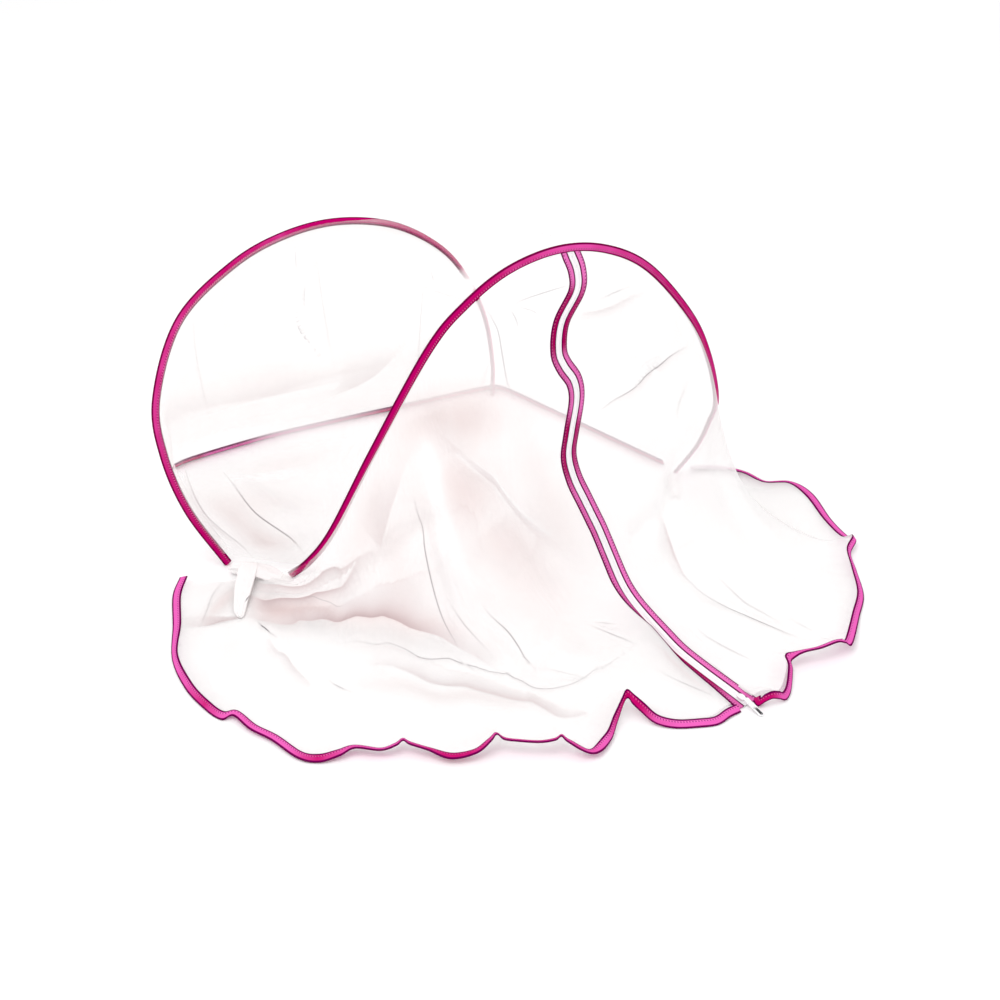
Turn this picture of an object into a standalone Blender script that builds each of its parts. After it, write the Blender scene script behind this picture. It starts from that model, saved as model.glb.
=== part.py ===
"""Pop-up mosquito net canopy: two sprung hoops, a net stretched over them and a wide skirt on the floor.

Sizes in the tables are in millimetres. X runs to the right of the front, Y to the back, Z up from the floor.
"""

import bpy
import bmesh
import numpy as np

MM = 0.001

# Binding round the wire: a flat oval, its broad side rolled towards the front.
BAND_HALF_WIDTH = 5.2
BAND_HALF_THICK = 2.5
BAND_SIDES = 8
HOOP_STEPS = 54
SEAM_GAP = 1.0

# Net panels
NET_THICK = 1.2
FLOOR_CLEAR = 0.5

# Flat binding sewn along the hems
HEM_WIDTH = 11.0
HEM_THICK = 2.2
HEM_GAP = 1.5
BACK_HEM_GAP = 0.9
# Trimmed off the lowest corner, so that the binding stands on a flat
FLAT_CUT = 0.6
HEM_CHAMFER = 0.6

# How far from its hem the net on the floor starts to climb to it
CLIMB_RUN = 42.0
# Turn of the bindings' broad side from the hoop's plane towards the front, in degrees
BAND_ROLL = 25.0
# Length over which a net settles as it leaves a hoop, and as it nears its hem
DEPARTURE = 45.0
HEM_APPROACH = 40.0
# Most of a short column that the approach takes, and how its points crowd towards the hoop
APPROACH_SHARE = 0.35
FALL_EASE = 1.8
# A fold's ends fade out. It is eased too on the panel's first steps from an edge or an end.
FOLD_FADE = 0.12
EDGE_EASE = 0.7
END_EASE = 0.6
SMOOTH_ANGLE = 40.0
NET_ALPHA = 0.45

# Steps of the panels: columns run down from a hoop, rows run along it.
UPPER_ROWS = 15
LOWER_ROWS = 9
UPPER_SHARE = 0.56
LEFT_COLUMNS = 46
RIGHT_COLUMNS = 34
BACK_COLUMNS = 40
TOP_COLUMNS = 32
TOP_ROWS = 12
WALL_COLUMNS = 32
WALL_LEFT_COLUMNS = 10
WALL_ROWS = 8

# Zip down the front: white tape between two bound edges
ZIP_TAPE_HALF = 4.6
ZIP_BINDING_WIDTH = 9.2
ZIP_GAP = 0.35
ZIP_TAPE_THICK = 1.6
ZIP_BINDING_THICK = 2.0
COIL_HALF = 1.5
COIL_RISE = 1.2
COIL_TOP_SHARE = 0.6

# Slider near the floor end of the zip, mm back from that end, then its width, length and height
SLIDER_BACK = 17.0
SLIDER_SIZE = (9.0, 12.0, 4.4)
# Along the slider: share of its length, of its width and of its height
SLIDER_PROFILE = ((0.0, 0.55, 0.7), (0.25, 1.0, 1.0), (0.75, 1.0, 1.0), (1.0, 0.7, 0.6))
SLIDER_CHAMFER = 1.0
# Flat pull, from the slider down to the floor past the hem: its start before the zip's end, sizes in mm
PULL_START = 4.6
PULL_LENGTH = 21.0
PULL_HALF_WIDTH = 3.6
PULL_THICK = 1.6
PULL_HOLE = 1.5
PULL_HIGH = 7.0
PULL_LOW = 1.0
PULL_SIDES = 16

# Rolled gather across the feet of the two hoops: x, y, height of its middle, half height, half width
GATHER_LEFT = (
    (-374, -151, 5.5, 5.0, 5.5), (-358, -154, 7.7, 7.2, 7.0), (-340, -155, 9.0, 8.5, 8.2),
    (-322, -155, 9.5, 9.0, 8.6), (-306, -156, 9.0, 8.5, 8.2), (-292, -157, 7.5, 7.0, 7.2),
    (-282, -158, 5.5, 5.0, 5.2),
)
# The fold of net that crosses it: x, y, height, half width
GATHER_FLAP = (
    (-329, -152, 20.0, 9), (-326, -160, 19.4, 12), (-324, -168, 15.8, 13), (-324, -178, 10.6, 12),
    (-326, -194, 5.6, 11), (-329, -212, 3.4, 9), (-332, -228, 3.0, 8), (-334, -240, 3.0, 5),
)
FLAP_COLUMNS = 5
FLAP_THICK = 2.0
# Small gather in front of the right foot of the front hoop
GATHER_RIGHT = (
    (214.7, 49.7, 5.0, 4.5, 4.5), (216, 34, 6.5, 6.0, 6.0), (219, 16, 6.5, 6.0, 6.5),
    (220, 2, 5.0, 4.5, 5.5),
)
GATHER_SIDES = 10
GATHER_STEPS = 16
GATHER_CREASE = 0.12

# Middle of the base, which becomes the origin
ORIGIN = np.array([-1.495, -108.87, 0.0])

# Feet of the hoops' middle lines: x, y, height
BACK_FEET = ((-349.0, -140.0, 2.2), (-20.0, 252.0, 2.2))
FRONT_FEET = ((-269.0, -167.0, 3.4), (217.0, 55.0, 3.4))
BACK_LEAN = 17.0
FRONT_LEAN = 16.0

# Each hoop in its own plane: mm along the line between its feet, mm up the plane
BACK_HOOP = (
    (0, 0), (-33, 90), (-43, 170), (-28, 238), (38, 311), (139, 341), (230, 344),
    (320, 327), (408, 288), (474, 236), (512, 184), (533, 112), (528, 46), (512, 0),
)
FRONT_HOOP = (
    (0, 0), (22, 18), (50, 67), (93, 200), (149, 356), (188, 418), (238, 460), (300, 475),
    (363, 459), (427, 409), (499, 309), (540, 223), (569, 132), (566, 92), (558, 46), (534, 0),
)

# Hem at the back: x, y along its two nearly straight runs and round its corner
BACK_HEM = (
    (-441, 70), (-414, 91), (-326, 140), (-240, 178), (-150, 215), (-68, 249), (-34, 262),
    (-12, 266), (10, 252), (58, 210), (106, 168), (157, 123), (206, 80),
)
BACK_HEM_ROLL = 62.0

# Wavy skirt hem, left of the zip: x, y, lift off the floor, roll of the binding in degrees
HEM_LEFT = (
    (-404, -181, 3, 25), (-405, -207, 0, 12), (-398, -266, 0, 10), (-390, -334, 0, 12),
    (-369, -383, 0, 20), (-347, -417, 0, 30), (-327, -436, 0, 45), (-312, -437, 2, 40),
    (-290, -459, 1, 45), (-264, -476, 0, 50), (-234, -504, 0, 50), (-212, -508, 0, 55),
    (-190, -503, 0, 55), (-172, -496, 2, 45), (-143, -500, 4, 40), (-118, -491, 9, 25),
    (-88, -500, 4, 40), (-63, -509, 0, 55), (-32, -502, 8, 40), (-13, -490, 21, 15),
    (12, -495, 14, 25), (36, -497, 14, 25), (60, -492, 16, 25), (94, -502, 2, 45),
    (118, -476, 4, 60), (134, -420, 14, 60), (146, -406, 18, 35), (170, -431, 6, 45),
    (192, -451, 0, 50), (219, -454, 0, 50), (243, -450, 0, 45), (266, -431, 1, 35),
)
# The same, right of the zip
HEM_RIGHT = (
    (303, -404, 3, 30), (313, -410, 2, 35), (327, -384, 2, 35), (330, -354, 5, 30),
    (328, -341, 9, 25), (346, -334, 14, 30), (366, -330, 17, 30), (390, -318, 18, 30),
    (404, -316, 12, 30), (421, -249, 2, 20), (432, -205, 0, 12), (430, -156, 0, 15),
    (428, -120, 4, 30), (436, -103, 7, 30), (427, -91, 4, 20), (411, -47, 0, 12),
    (394, 10, 0, 15), (371, 36, 0, 30), (338, 37, 0, 40), (313, 59, 0, 40),
    (286, 71, 0, 35), (264, 72, 1, 30), (244, 68, 2, 25),
)

# Zip: mm down it from the hoop, mm to the right, mm outwards
ZIP_WAVES = (
    (0, 0, 0), (25, 9, 2), (50, 9, 4), (85, -6, 2), (125, -15, 0), (155, -13, 2), (195, -5, 4),
    (225, -6, 3), (255, -15, 0), (292, -13, 2), (335, -3, 3), (385, 3, 2), (460, 4, 0), (560, 1, 0),
    (780, 0, 0),
)
ZIP_SHARE = 0.503
# Half the zip's width as a share of the hoop
ZIP_SPREAD = 0.0128
ZIP_FOOT = (290.0, -415.0)
ZIP_FLOOR = 1.3
ZIP_SWEEP = 40.0
ZIP_TOP_GAP = 3.0
ZIP_TURN = 160.0
ZIP_PULL_SHARE = 0.22
# The front hems end beside the zip's foot
HEM_END_GAP = 0.4
HEM_END_ROLL = 30.0

# Which share of the front hoop carries the net that runs to a share of the hem
LEFT_SPREAD = (
    (0.0, 0.015), (0.2, 0.035), (0.4, 0.10), (0.6, 0.22), (0.8, 0.37), (1.0, ZIP_SHARE - ZIP_SPREAD),
)
RIGHT_SPREAD = (
    (0.0, ZIP_SHARE + ZIP_SPREAD), (0.15, 0.60), (0.35, 0.74), (0.6, 0.88), (0.85, 0.955), (1.0, 0.975),
)
# How far the net sweeps out as it falls: share of the hem, mm
LEFT_SWEEP = ((0.0, 25.0), (0.4, 45.0), (1.0, ZIP_SWEEP))
RIGHT_SWEEP = ((0.0, ZIP_SWEEP), (0.5, 45.0), (0.85, 25.0), (1.0, 14.0))
# Added to the right net's gap at the hoop: share of the hem, mm
RIGHT_SEAM = ((0.0, 0.0), (0.8, 0.0), (1.0, 2.4))

TOP_RANGE = (0.015, 0.965)
TOP_SAG = 22.0
SAG_FULLNESS = 0.8
WALL_RANGE = (0.03, 0.955)
WALL_SAG = 14.0
WALL_START = (-352.0, -112.0)
WALL_END = np.array([-6.0, -8.0, 18.0])
CORNER_CUT = 0.03

# Folds: column and row shares of each end, half width in mm, height in mm (below zero sinks in)
LEFT_FOLDS = (
    (0.06, 0.30, 0.37, 0.42, 16, -9), (0.37, 0.43, 0.68, 0.68, 18, -8), (0.18, 0.16, 0.53, 0.33, 14, 8),
    (0.53, 0.33, 0.73, 0.38, 16, 8), (0.66, 0.30, 0.68, 0.62, 14, 10), (0.72, 0.12, 0.84, 0.52, 22, 12),
    (0.84, 0.52, 0.90, 0.70, 20, 9), (0.89, 0.20, 0.90, 0.62, 26, -14), (0.84, 0.42, 0.98, 0.68, 14, 8),
    (0.44, 0.50, 0.64, 0.72, 15, 8), (0.64, 0.72, 0.96, 0.81, 15, 8), (0.50, 0.67, 0.68, 0.83, 14, 7),
    (0.68, 0.83, 0.84, 0.93, 14, 6), (0.24, 0.55, 0.36, 0.74, 14, 7), (0.03, 0.45, 0.10, 0.90, 13, 7),
    (0.12, 0.45, 0.24, 0.92, 16, 6), (0.60, 0.06, 0.56, 0.30, 18, -7), (0.78, 0.62, 0.80, 0.80, 12, 6),
)
RIGHT_FOLDS = (
    (0.04, 0.13, 0.18, 0.07, 14, 7), (0.05, 0.30, 0.32, 0.11, 16, 8), (0.29, 0.23, 0.25, 0.32, 12, 5),
    (0.22, 0.45, 0.15, 0.66, 14, 9), (0.15, 0.66, 0.19, 0.81, 14, 9), (0.19, 0.81, 0.27, 0.93, 14, 7),
    (0.04, 0.62, 0.16, 0.59, 12, 6), (0.18, 0.75, 0.25, 0.86, 12, 6), (0.08, 0.80, 0.12, 0.92, 12, 6),
    (0.40, 0.30, 0.42, 0.85, 22, 9), (0.60, 0.35, 0.62, 0.85, 20, 8), (0.50, 0.35, 0.52, 0.85, 18, -6),
)
TOP_FOLDS = (
    (0.44, 0.20, 0.36, 0.45, 16, 8), (0.36, 0.45, 0.30, 0.68, 16, 7), (0.19, 0.08, 0.25, 0.50, 22, -9),
    (0.25, 0.50, 0.33, 0.94, 22, -9), (0.15, 0.28, 0.04, 0.85, 16, 8), (0.42, 0.74, 0.38, 0.97, 14, 7),
    (0.70, 0.30, 0.62, 0.75, 24, -8),
)
WALL_FOLDS = (
    (0.44, 0.10, 0.52, 0.85, 20, 7), (0.66, 0.15, 0.78, 0.85, 20, -7), (0.20, 0.30, 0.30, 0.85, 16, 6),
)


def spline(points, count):
    """Smooth curve through the points, with even steps along its length."""
    knots = np.asarray(points, float)
    padded = np.vstack([2 * knots[0] - knots[1], knots, 2 * knots[-1] - knots[-2]])
    fine = []
    for i in range(1, len(padded) - 2):
        a, b, c, d = padded[i - 1:i + 3]
        for t in np.linspace(0, 1, 24, endpoint=False):
            fine.append(0.5 * (2 * b + (c - a) * t + (2 * a - 5 * b + 4 * c - d) * t ** 2
                               + (3 * b - a - 3 * c + d) * t ** 3))
    fine.append(padded[-2])
    return resample(np.array(fine), count)


def resample(points, count):
    """The same line with count points at even steps."""
    return points_at(points, np.linspace(0, 1, count))


def points_at(points, shares):
    """Points of a line at the given shares of its length."""
    steps = np.linalg.norm(np.diff(points[:, :3], axis=0), axis=1)
    length = np.concatenate([[0], np.cumsum(steps)])
    wanted = np.asarray(shares) * length[-1]
    return np.stack([np.interp(wanted, length, points[:, k]) for k in range(points.shape[1])], axis=1)


def unit(vectors):
    """Vectors made one long."""
    return vectors / np.maximum(np.linalg.norm(vectors, axis=-1, keepdims=True), 1e-9)


def hoop_frame(feet, lean, front_sign):
    """Start, direction along the feet, direction up the hoop's plane and the side facing the front."""
    start = np.array(feet[0])
    along = unit(np.array(feet[1]) - start)
    front = np.array([along[1], -along[0], 0.0])
    angle = np.radians(lean) * front_sign
    up = np.cos(angle) * np.array([0.0, 0.0, 1.0]) + np.sin(angle) * front
    face = np.cos(angle) * front - np.sin(angle) * np.array([0.0, 0.0, 1.0])
    return start, along, up, face


def hoop_line(feet, lean, front_sign, stations, count):
    """Centre line of a hoop, with the broad and narrow directions of its binding at each point."""
    start, along, up, face = hoop_frame(feet, lean, front_sign)
    flat = spline(stations, count)
    centre = start + flat[:, :1] * along + flat[:, 1:] * up
    way = unit(np.gradient(centre, axis=0))
    inward = unit(np.cross(way, face))
    roll = np.radians(BAND_ROLL)
    broad = np.cos(roll) * inward + np.sin(roll) * face
    narrow = np.cross(way, broad)
    return centre, broad, narrow


def line_share(line, shares):
    """Centre, broad and narrow directions of a hoop at shares of its length."""
    joined = points_at(np.hstack(line), shares)
    return joined[:, :3], unit(joined[:, 3:6]), unit(joined[:, 6:])


def band_reach(direction, broad, narrow):
    """How far the bound hoop reaches from its centre in this direction."""
    a = direction @ broad / BAND_HALF_WIDTH
    b = direction @ narrow / BAND_HALF_THICK
    return 1 / max(np.hypot(a, b), 1 / BAND_HALF_WIDTH)


def hem_frame(line, inner_side):
    """Outer edge of a binding from its middle line, the direction across it and its upper side."""
    way = unit(np.gradient(line[:, :2], axis=0))
    for _ in range(2):
        way[1:-1] = unit(way[:-2] + way[1:-1] + way[2:])
    inward = np.stack([-way[:, 1], way[:, 0], np.zeros(len(way))], axis=1) * inner_side
    roll = np.radians(line[:, 3:4])
    rise = np.array([0.0, 0.0, 1.0])
    across = np.cos(roll) * inward + np.sin(roll) * rise
    upper = -np.sin(roll) * inward + np.cos(roll) * rise
    edge = line[:, :3] - inward * np.cos(roll) * HEM_WIDTH / 2 + upper * HEM_THICK / 2
    edge[:, 2] -= FLAT_CUT
    return edge, across, upper


def fall(top, band, bottom, inward, sweep_out, gap, shares):
    """A column of net that hangs from the hoop, runs out on the floor and climbs to its hem."""
    span = np.linalg.norm(bottom[:2] - top[:2])
    lead = inward[:2] * min(HEM_APPROACH, APPROACH_SHARE * span)
    t = np.linspace(0, 1, 200)[:, None] ** FALL_EASE
    first = top[:2] + (bottom[:2] + lead - top[:2]) / 3
    flat = (top[:2] * (1 - t) ** 3 + first * 3 * t * (1 - t) ** 2
            + (bottom[:2] + lead) * 3 * t ** 2 * (1 - t) + bottom[:2] * t ** 3)
    s = np.concatenate([[0], np.cumsum(np.linalg.norm(np.diff(flat, axis=0), axis=1))])
    length = s[-1]
    drop = (top[2] - FLOOR_CLEAR) * (np.exp(-s / sweep_out) - np.exp(-length / sweep_out) * s / length)
    climb = (bottom[2] - FLOOR_CLEAR) * np.clip((s - length + CLIMB_RUN) / CLIMB_RUN, 0, 1) ** 2
    line = np.column_stack([flat, FLOOR_CLEAR + drop + climb])
    return points_at(beside_hoop(line, band, gap), shares)


def beside_hoop(line, band, gap=0.0):
    """The line with its start moved sideways, out of the hoop's binding. The shift dies out along it."""
    steps = np.linalg.norm(np.diff(line, axis=0), axis=1)
    s = np.concatenate([[0], np.cumsum(steps)])
    lead = points_at(line, [min(DEPARTURE / s[-1], 1)])[0] - line[0]
    way = np.cross(*band)
    out = unit(lead - (lead @ way) * way)
    shift = band_reach(out, *band) + SEAM_GAP + gap
    return line + np.outer(shift * np.exp(-s / DEPARTURE), out)


def surface_normals(grid, side):
    """Unit normals of a grid of points, on the side asked for."""
    along = np.gradient(grid, axis=0)
    across = np.gradient(grid, axis=1)
    return unit(np.cross(along, across)) * side


def folded(grid, side, folds):
    """The grid with its folds raised or sunk along the normals."""
    normals = surface_normals(grid, side)
    lift = np.zeros(grid.shape[:2])
    for u0, v0, u1, v1, half_width, height in folds:
        share = np.linspace(0, 1, 14)
        spots = grid_points(grid, u0 + (u1 - u0) * share, v0 + (v1 - v0) * share)
        away = np.linalg.norm(grid[:, :, None, :] - spots, axis=3)
        nearest = away.argmin(axis=2)
        taper = np.sin(np.pi * np.clip(FOLD_FADE + (1 - 2 * FOLD_FADE) * share[nearest], 0, 1))
        lift += height * taper * np.exp(-(away.min(axis=2) / half_width) ** 2)
    edge = np.ones(grid.shape[1])
    edge[0] = edge[-1] = 0.0
    edge[1] = edge[-2] = EDGE_EASE
    ends = np.ones(grid.shape[0])
    ends[0] = ends[-1] = 0.0
    ends[1] = ends[-2] = END_EASE
    return grid + normals * (lift * edge * ends[:, None])[:, :, None]


def grid_points(grid, u, v):
    """Points of a grid at shares u and v of its two sides."""
    i = np.clip(np.asarray(u), 0, 1) * (grid.shape[0] - 1)
    j = np.clip(np.asarray(v), 0, 1) * (grid.shape[1] - 1)
    i0 = np.minimum(i.astype(int), grid.shape[0] - 2)
    j0 = np.minimum(j.astype(int), grid.shape[1] - 2)
    a = (i - i0)[:, None]
    b = (j - j0)[:, None]
    near = grid[i0, j0] * (1 - b) + grid[i0, j0 + 1] * b
    far = grid[i0 + 1, j0] * (1 - b) + grid[i0 + 1, j0 + 1] * b
    return near * (1 - a) + far * a


def add_object(name, points, faces, material):
    """A closed mesh object from points in mm."""
    mesh = bpy.data.meshes.new(name)
    metres = (points - ORIGIN) * MM
    mesh.from_pydata([tuple(p) for p in metres], [], faces)
    mesh.materials.append(material)
    shape = bmesh.new()
    shape.from_mesh(mesh)
    bmesh.ops.recalc_face_normals(shape, faces=shape.faces)
    if shape.calc_volume(signed=True) < 0:
        bmesh.ops.reverse_faces(shape, faces=shape.faces)
    bmesh.ops.triangulate(shape, faces=shape.faces)
    shape.to_mesh(mesh)
    shape.free()
    mesh.shade_smooth()
    mesh.set_sharp_from_angle(angle=np.radians(SMOOTH_ANGLE))
    obj = bpy.data.objects.new(name, mesh)
    bpy.context.scene.collection.objects.link(obj)
    return obj


def add_sheet(name, grid, side, material, thick=NET_THICK):
    """A closed thin sheet round a grid of middle points. It never goes below the floor."""
    rows, columns = grid.shape[:2]
    normals = surface_normals(grid, side)
    upper = grid + normals * thick / 2
    lower = grid - normals * thick / 2
    points = np.vstack([upper.reshape(-1, 3), lower.reshape(-1, 3)])
    points[:, 2] = np.maximum(points[:, 2], 0.0)
    size = rows * columns
    faces = []
    for i in range(rows - 1):
        for j in range(columns - 1):
            a, b = i * columns + j, i * columns + j + 1
            c, d = b + columns, a + columns
            faces.append((a, b, c, d))
            faces.append((a + size, d + size, c + size, b + size))
    rim = [(0, j) for j in range(columns)] + [(i, columns - 1) for i in range(1, rows)]
    rim += [(rows - 1, j) for j in range(columns - 2, -1, -1)] + [(i, 0) for i in range(rows - 2, 0, -1)]
    rim = [i * columns + j for i, j in rim]
    for a, b in zip(rim, rim[1:] + rim[:1]):
        faces.append((b, a, a + size, b + size))
    return add_object(name, points, faces, material)


def add_sweep(name, centre, side_a, side_b, section, material):
    """A closed solid: a section in mm carried along a line. A section holds (a, b) pairs.

    It is one section for the whole line, or one for each step.
    """
    count = len(centre)
    section = np.asarray(section, float)
    if section.ndim == 2:
        section = np.repeat(section[None], count, axis=0)
    sides = section.shape[1]
    points = centre[:, None] + section[:, :, :1] * side_a[:, None] + section[:, :, 1:] * side_b[:, None]
    points = points.reshape(-1, 3)
    points[:, 2] = np.maximum(points[:, 2], 0.0)
    faces = [tuple(range(sides)), tuple(range(len(points) - 1, len(points) - sides - 1, -1))]
    for i in range(count - 1):
        for j in range(sides):
            a, b = i * sides + j, i * sides + (j + 1) % sides
            faces.append((b, a, a + sides, b + sides))
    return add_object(name, points, faces, material)


def oval(half_a, half_b, sides):
    """Section of an oval."""
    angle = np.linspace(0, 2 * np.pi, sides, endpoint=False)
    return np.column_stack([half_a * np.cos(angle), half_b * np.sin(angle)])


def strip(start, end, thick):
    """Section of a flat binding from start to end across, with its edges eased."""
    half = thick / 2
    low, high = start + HEM_CHAMFER, end - HEM_CHAMFER
    return np.array([(low, -half), (high, -half), (end, 0), (high, half), (low, half), (start, 0)])


def mapped(table, shares):
    """Second column of a table at shares of its first."""
    table = np.asarray(table, float)
    return np.interp(shares, table[:, 0], table[:, 1])


def row_shares():
    """Where the rows of the front net lie: closer together on its upper half."""
    upper = np.linspace(0, UPPER_SHARE, UPPER_ROWS)
    lower = np.linspace(UPPER_SHARE, 1, LOWER_ROWS + 1)
    return np.concatenate([upper, lower[1:]])


def zip_line(hoop):
    """Centre line of the zip with its sideways and outward directions. Its last step crosses the hem."""
    top, broad, narrow = (row[0] for row in line_share(hoop, [ZIP_SHARE]))
    ahead = unit(np.array([*(np.array(ZIP_FOOT) - top[:2]), 0.0]))
    foot = np.array([*ZIP_FOOT, ZIP_FLOOR])
    meet = foot - ahead * (HEM_WIDTH + HEM_GAP)
    base = fall(top, (broad, narrow), meet, -ahead, ZIP_SWEEP, ZIP_TOP_GAP, row_shares())
    base = np.vstack([base, foot])
    base[:, 2] = np.maximum(base[:, 2], ZIP_FLOOR)
    down = np.concatenate([[0], np.cumsum(np.linalg.norm(np.diff(base, axis=0), axis=1))])
    turn = np.clip(down / ZIP_TURN, 0, 1)[:, None]
    along = np.cross(broad, narrow)
    right = unit(along * (1 - turn) + np.array([-ahead[1], ahead[0], 0.0]) * turn)
    out = unit(np.cross(unit(np.gradient(base, axis=0)), right))
    curve = spline(ZIP_WAVES, 300)
    sideways = np.interp(down, curve[:, 0], curve[:, 1])
    outwards = np.interp(down, curve[:, 0], curve[:, 2])
    centre = base + right * sideways[:, None] + out * outwards[:, None]
    way = unit(np.gradient(centre, axis=0))
    way[0] = unit(base[1] - base[0])
    side = unit(right - np.sum(way * right, axis=1, keepdims=True) * way)
    return centre, side, np.cross(way, side)


def front_panel(hoop, hoop_shares, hem_frame_lines, sweeps, seams, zip_edge, zip_at_end):
    """Grid of one half of the front net: a column for each point of its hem."""
    tops, broads, narrows = line_share(hoop, hoop_shares)
    ends = hem_inner(hem_frame_lines, HEM_GAP)
    inward = hem_frame_lines[1] * (1, 1, 0)
    inward = unit(inward)
    rows = row_shares()
    grid = np.array([
        fall(tops[i], (broads[i], narrows[i]), ends[i], inward[i], sweeps[i], seams[i], rows)
        for i in range(len(ends))
    ])
    shares = np.linspace(0, 1, len(grid))
    closeness = shares if zip_at_end else 1 - shares
    weight = np.clip((closeness - 1 + ZIP_PULL_SHARE) / ZIP_PULL_SHARE, 0, 1) ** 2
    change = zip_edge - grid[-1 if zip_at_end else 0]
    return grid + weight[:, None, None] * change


def ruled_panel(first, second, count, bands_first, bands_second, sag, side):
    """Grid between two lines, pulled in between them, with its ends clear of the hoops' bindings."""
    share = np.linspace(0, 1, 60)[:, None]
    columns = []
    for i, (a, b) in enumerate(zip(first, second)):
        line = a * (1 - share) + b * share
        line = line if bands_first[i] is None else beside_hoop(line, bands_first[i])
        line = line if bands_second[i] is None else beside_hoop(line[::-1], bands_second[i])[::-1]
        columns.append(resample(line, count))
    grid = np.array(columns)
    normals = surface_normals(grid, side)
    u = np.linspace(0, 1, len(grid))[:, None]
    v = np.linspace(0, 1, count)
    dip = sag * np.sin(np.pi * u) ** SAG_FULLNESS * np.sin(np.pi * v)
    return grid - normals * dip[:, :, None]


def bands_of(line, shares, open_end):
    """Binding directions for each column, and none for the last one where it is clear of the hoop."""
    _, broads, narrows = line_share(line, shares)
    bands = list(zip(broads, narrows))
    return bands + [None] * open_end


def hem_inner(frame, gap):
    """Where the net meets the inner edge of its binding."""
    edge, across, _ = frame
    return edge + across * (HEM_WIDTH + gap)


def rolled_gather(stations, count):
    """Centre line, directions and creased sections of a roll of net."""
    rows = spline(stations, count)
    centre = rows[:, :3]
    way = unit(np.gradient(centre, axis=0))
    side = unit(np.cross(way, np.broadcast_to((0.0, 0.0, 1.0), way.shape)))
    angle = np.linspace(0, 2 * np.pi, GATHER_SIDES, endpoint=False)
    crease = 1 - GATHER_CREASE * (np.arange(GATHER_SIDES) % 2)
    wide = rows[:, 4:5] * np.cos(angle) * crease
    high = rows[:, 3:4] * np.sin(angle) * crease
    return centre, side, np.cross(side, way), np.stack([wide, high], axis=2)


def flat_ring(outline, hole, thick):
    """Points and faces of a flat tab with a hole through it, both outlines having as many points."""
    count = len(outline)
    flat = np.vstack([outline, hole])
    points = np.vstack([np.column_stack([flat, np.full(2 * count, z)]) for z in (thick / 2, -thick / 2)])
    faces = []
    for k in range(count):
        n = (k + 1) % count
        faces.append((k, n, count + n, count + k))
        faces.append((2 * count + n, 2 * count + k, 3 * count + k, 3 * count + n))
        faces.append((n, k, 2 * count + k, 2 * count + n))
        faces.append((count + k, count + n, 3 * count + n, 3 * count + k))
    return points, faces


def add_slider(foot, ahead, right, material):
    """The zip's slider: a low block with sloping ends, over the coil."""
    width, length, height = SLIDER_SIZE
    base = ZIP_FLOOR + ZIP_TAPE_THICK / 2 + COIL_RISE + ZIP_GAP
    centre, sections = [], []
    for share, wide, high in SLIDER_PROFILE:
        centre.append(foot * (1, 1, 0) + ahead * (length * share - SLIDER_BACK))
        half = wide * width / 2
        top = base + height * high
        ease = SLIDER_CHAMFER
        sections.append([(-half, base), (half, base), (half, top - ease), (half - ease, top),
                         (ease - half, top), (-half, top - ease)])
    centre = np.array(centre)
    rise = np.broadcast_to((0.0, 0.0, 1.0), centre.shape)
    across = np.broadcast_to(right, centre.shape)
    return add_sweep("zip_slider", centre, across, rise, sections, material)


def add_pull(foot, ahead, right, material):
    """The pull: a flat tab with round ends and a hole, sloping from the slider to the floor."""
    angle = np.linspace(0, 2 * np.pi, PULL_SIDES, endpoint=False) + np.pi / PULL_SIDES
    half = PULL_LENGTH / 2 - PULL_HALF_WIDTH
    around = np.column_stack([np.sin(angle), np.cos(angle)])
    outline = around * PULL_HALF_WIDTH + np.outer(np.sign(around[:, 1]), (0, half))
    hole = around * PULL_HOLE + (0, half)
    points, faces = flat_ring(outline, hole, PULL_THICK)
    near = foot - ahead * PULL_START
    far = near + ahead * PULL_LENGTH
    near[2] = PULL_HIGH
    far[2] = PULL_LOW
    way = unit(far - near)
    up = np.cross(right, way)
    placed = (near + far) / 2 + points[:, :1] * right + points[:, 1:2] * way + points[:, 2:] * up
    return add_object("zip_pull", placed, faces, material)


def make_material(name, colour, roughness, alpha=1.0):
    """A plain Principled material."""
    material = bpy.data.materials.new(name)
    material.use_nodes = True
    shader = material.node_tree.nodes["Principled BSDF"]
    shader.inputs["Base Color"].default_value = (*colour, 1.0)
    shader.inputs["Roughness"].default_value = roughness
    shader.inputs["Alpha"].default_value = alpha
    material.diffuse_color = (*colour, alpha)
    return material


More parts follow.
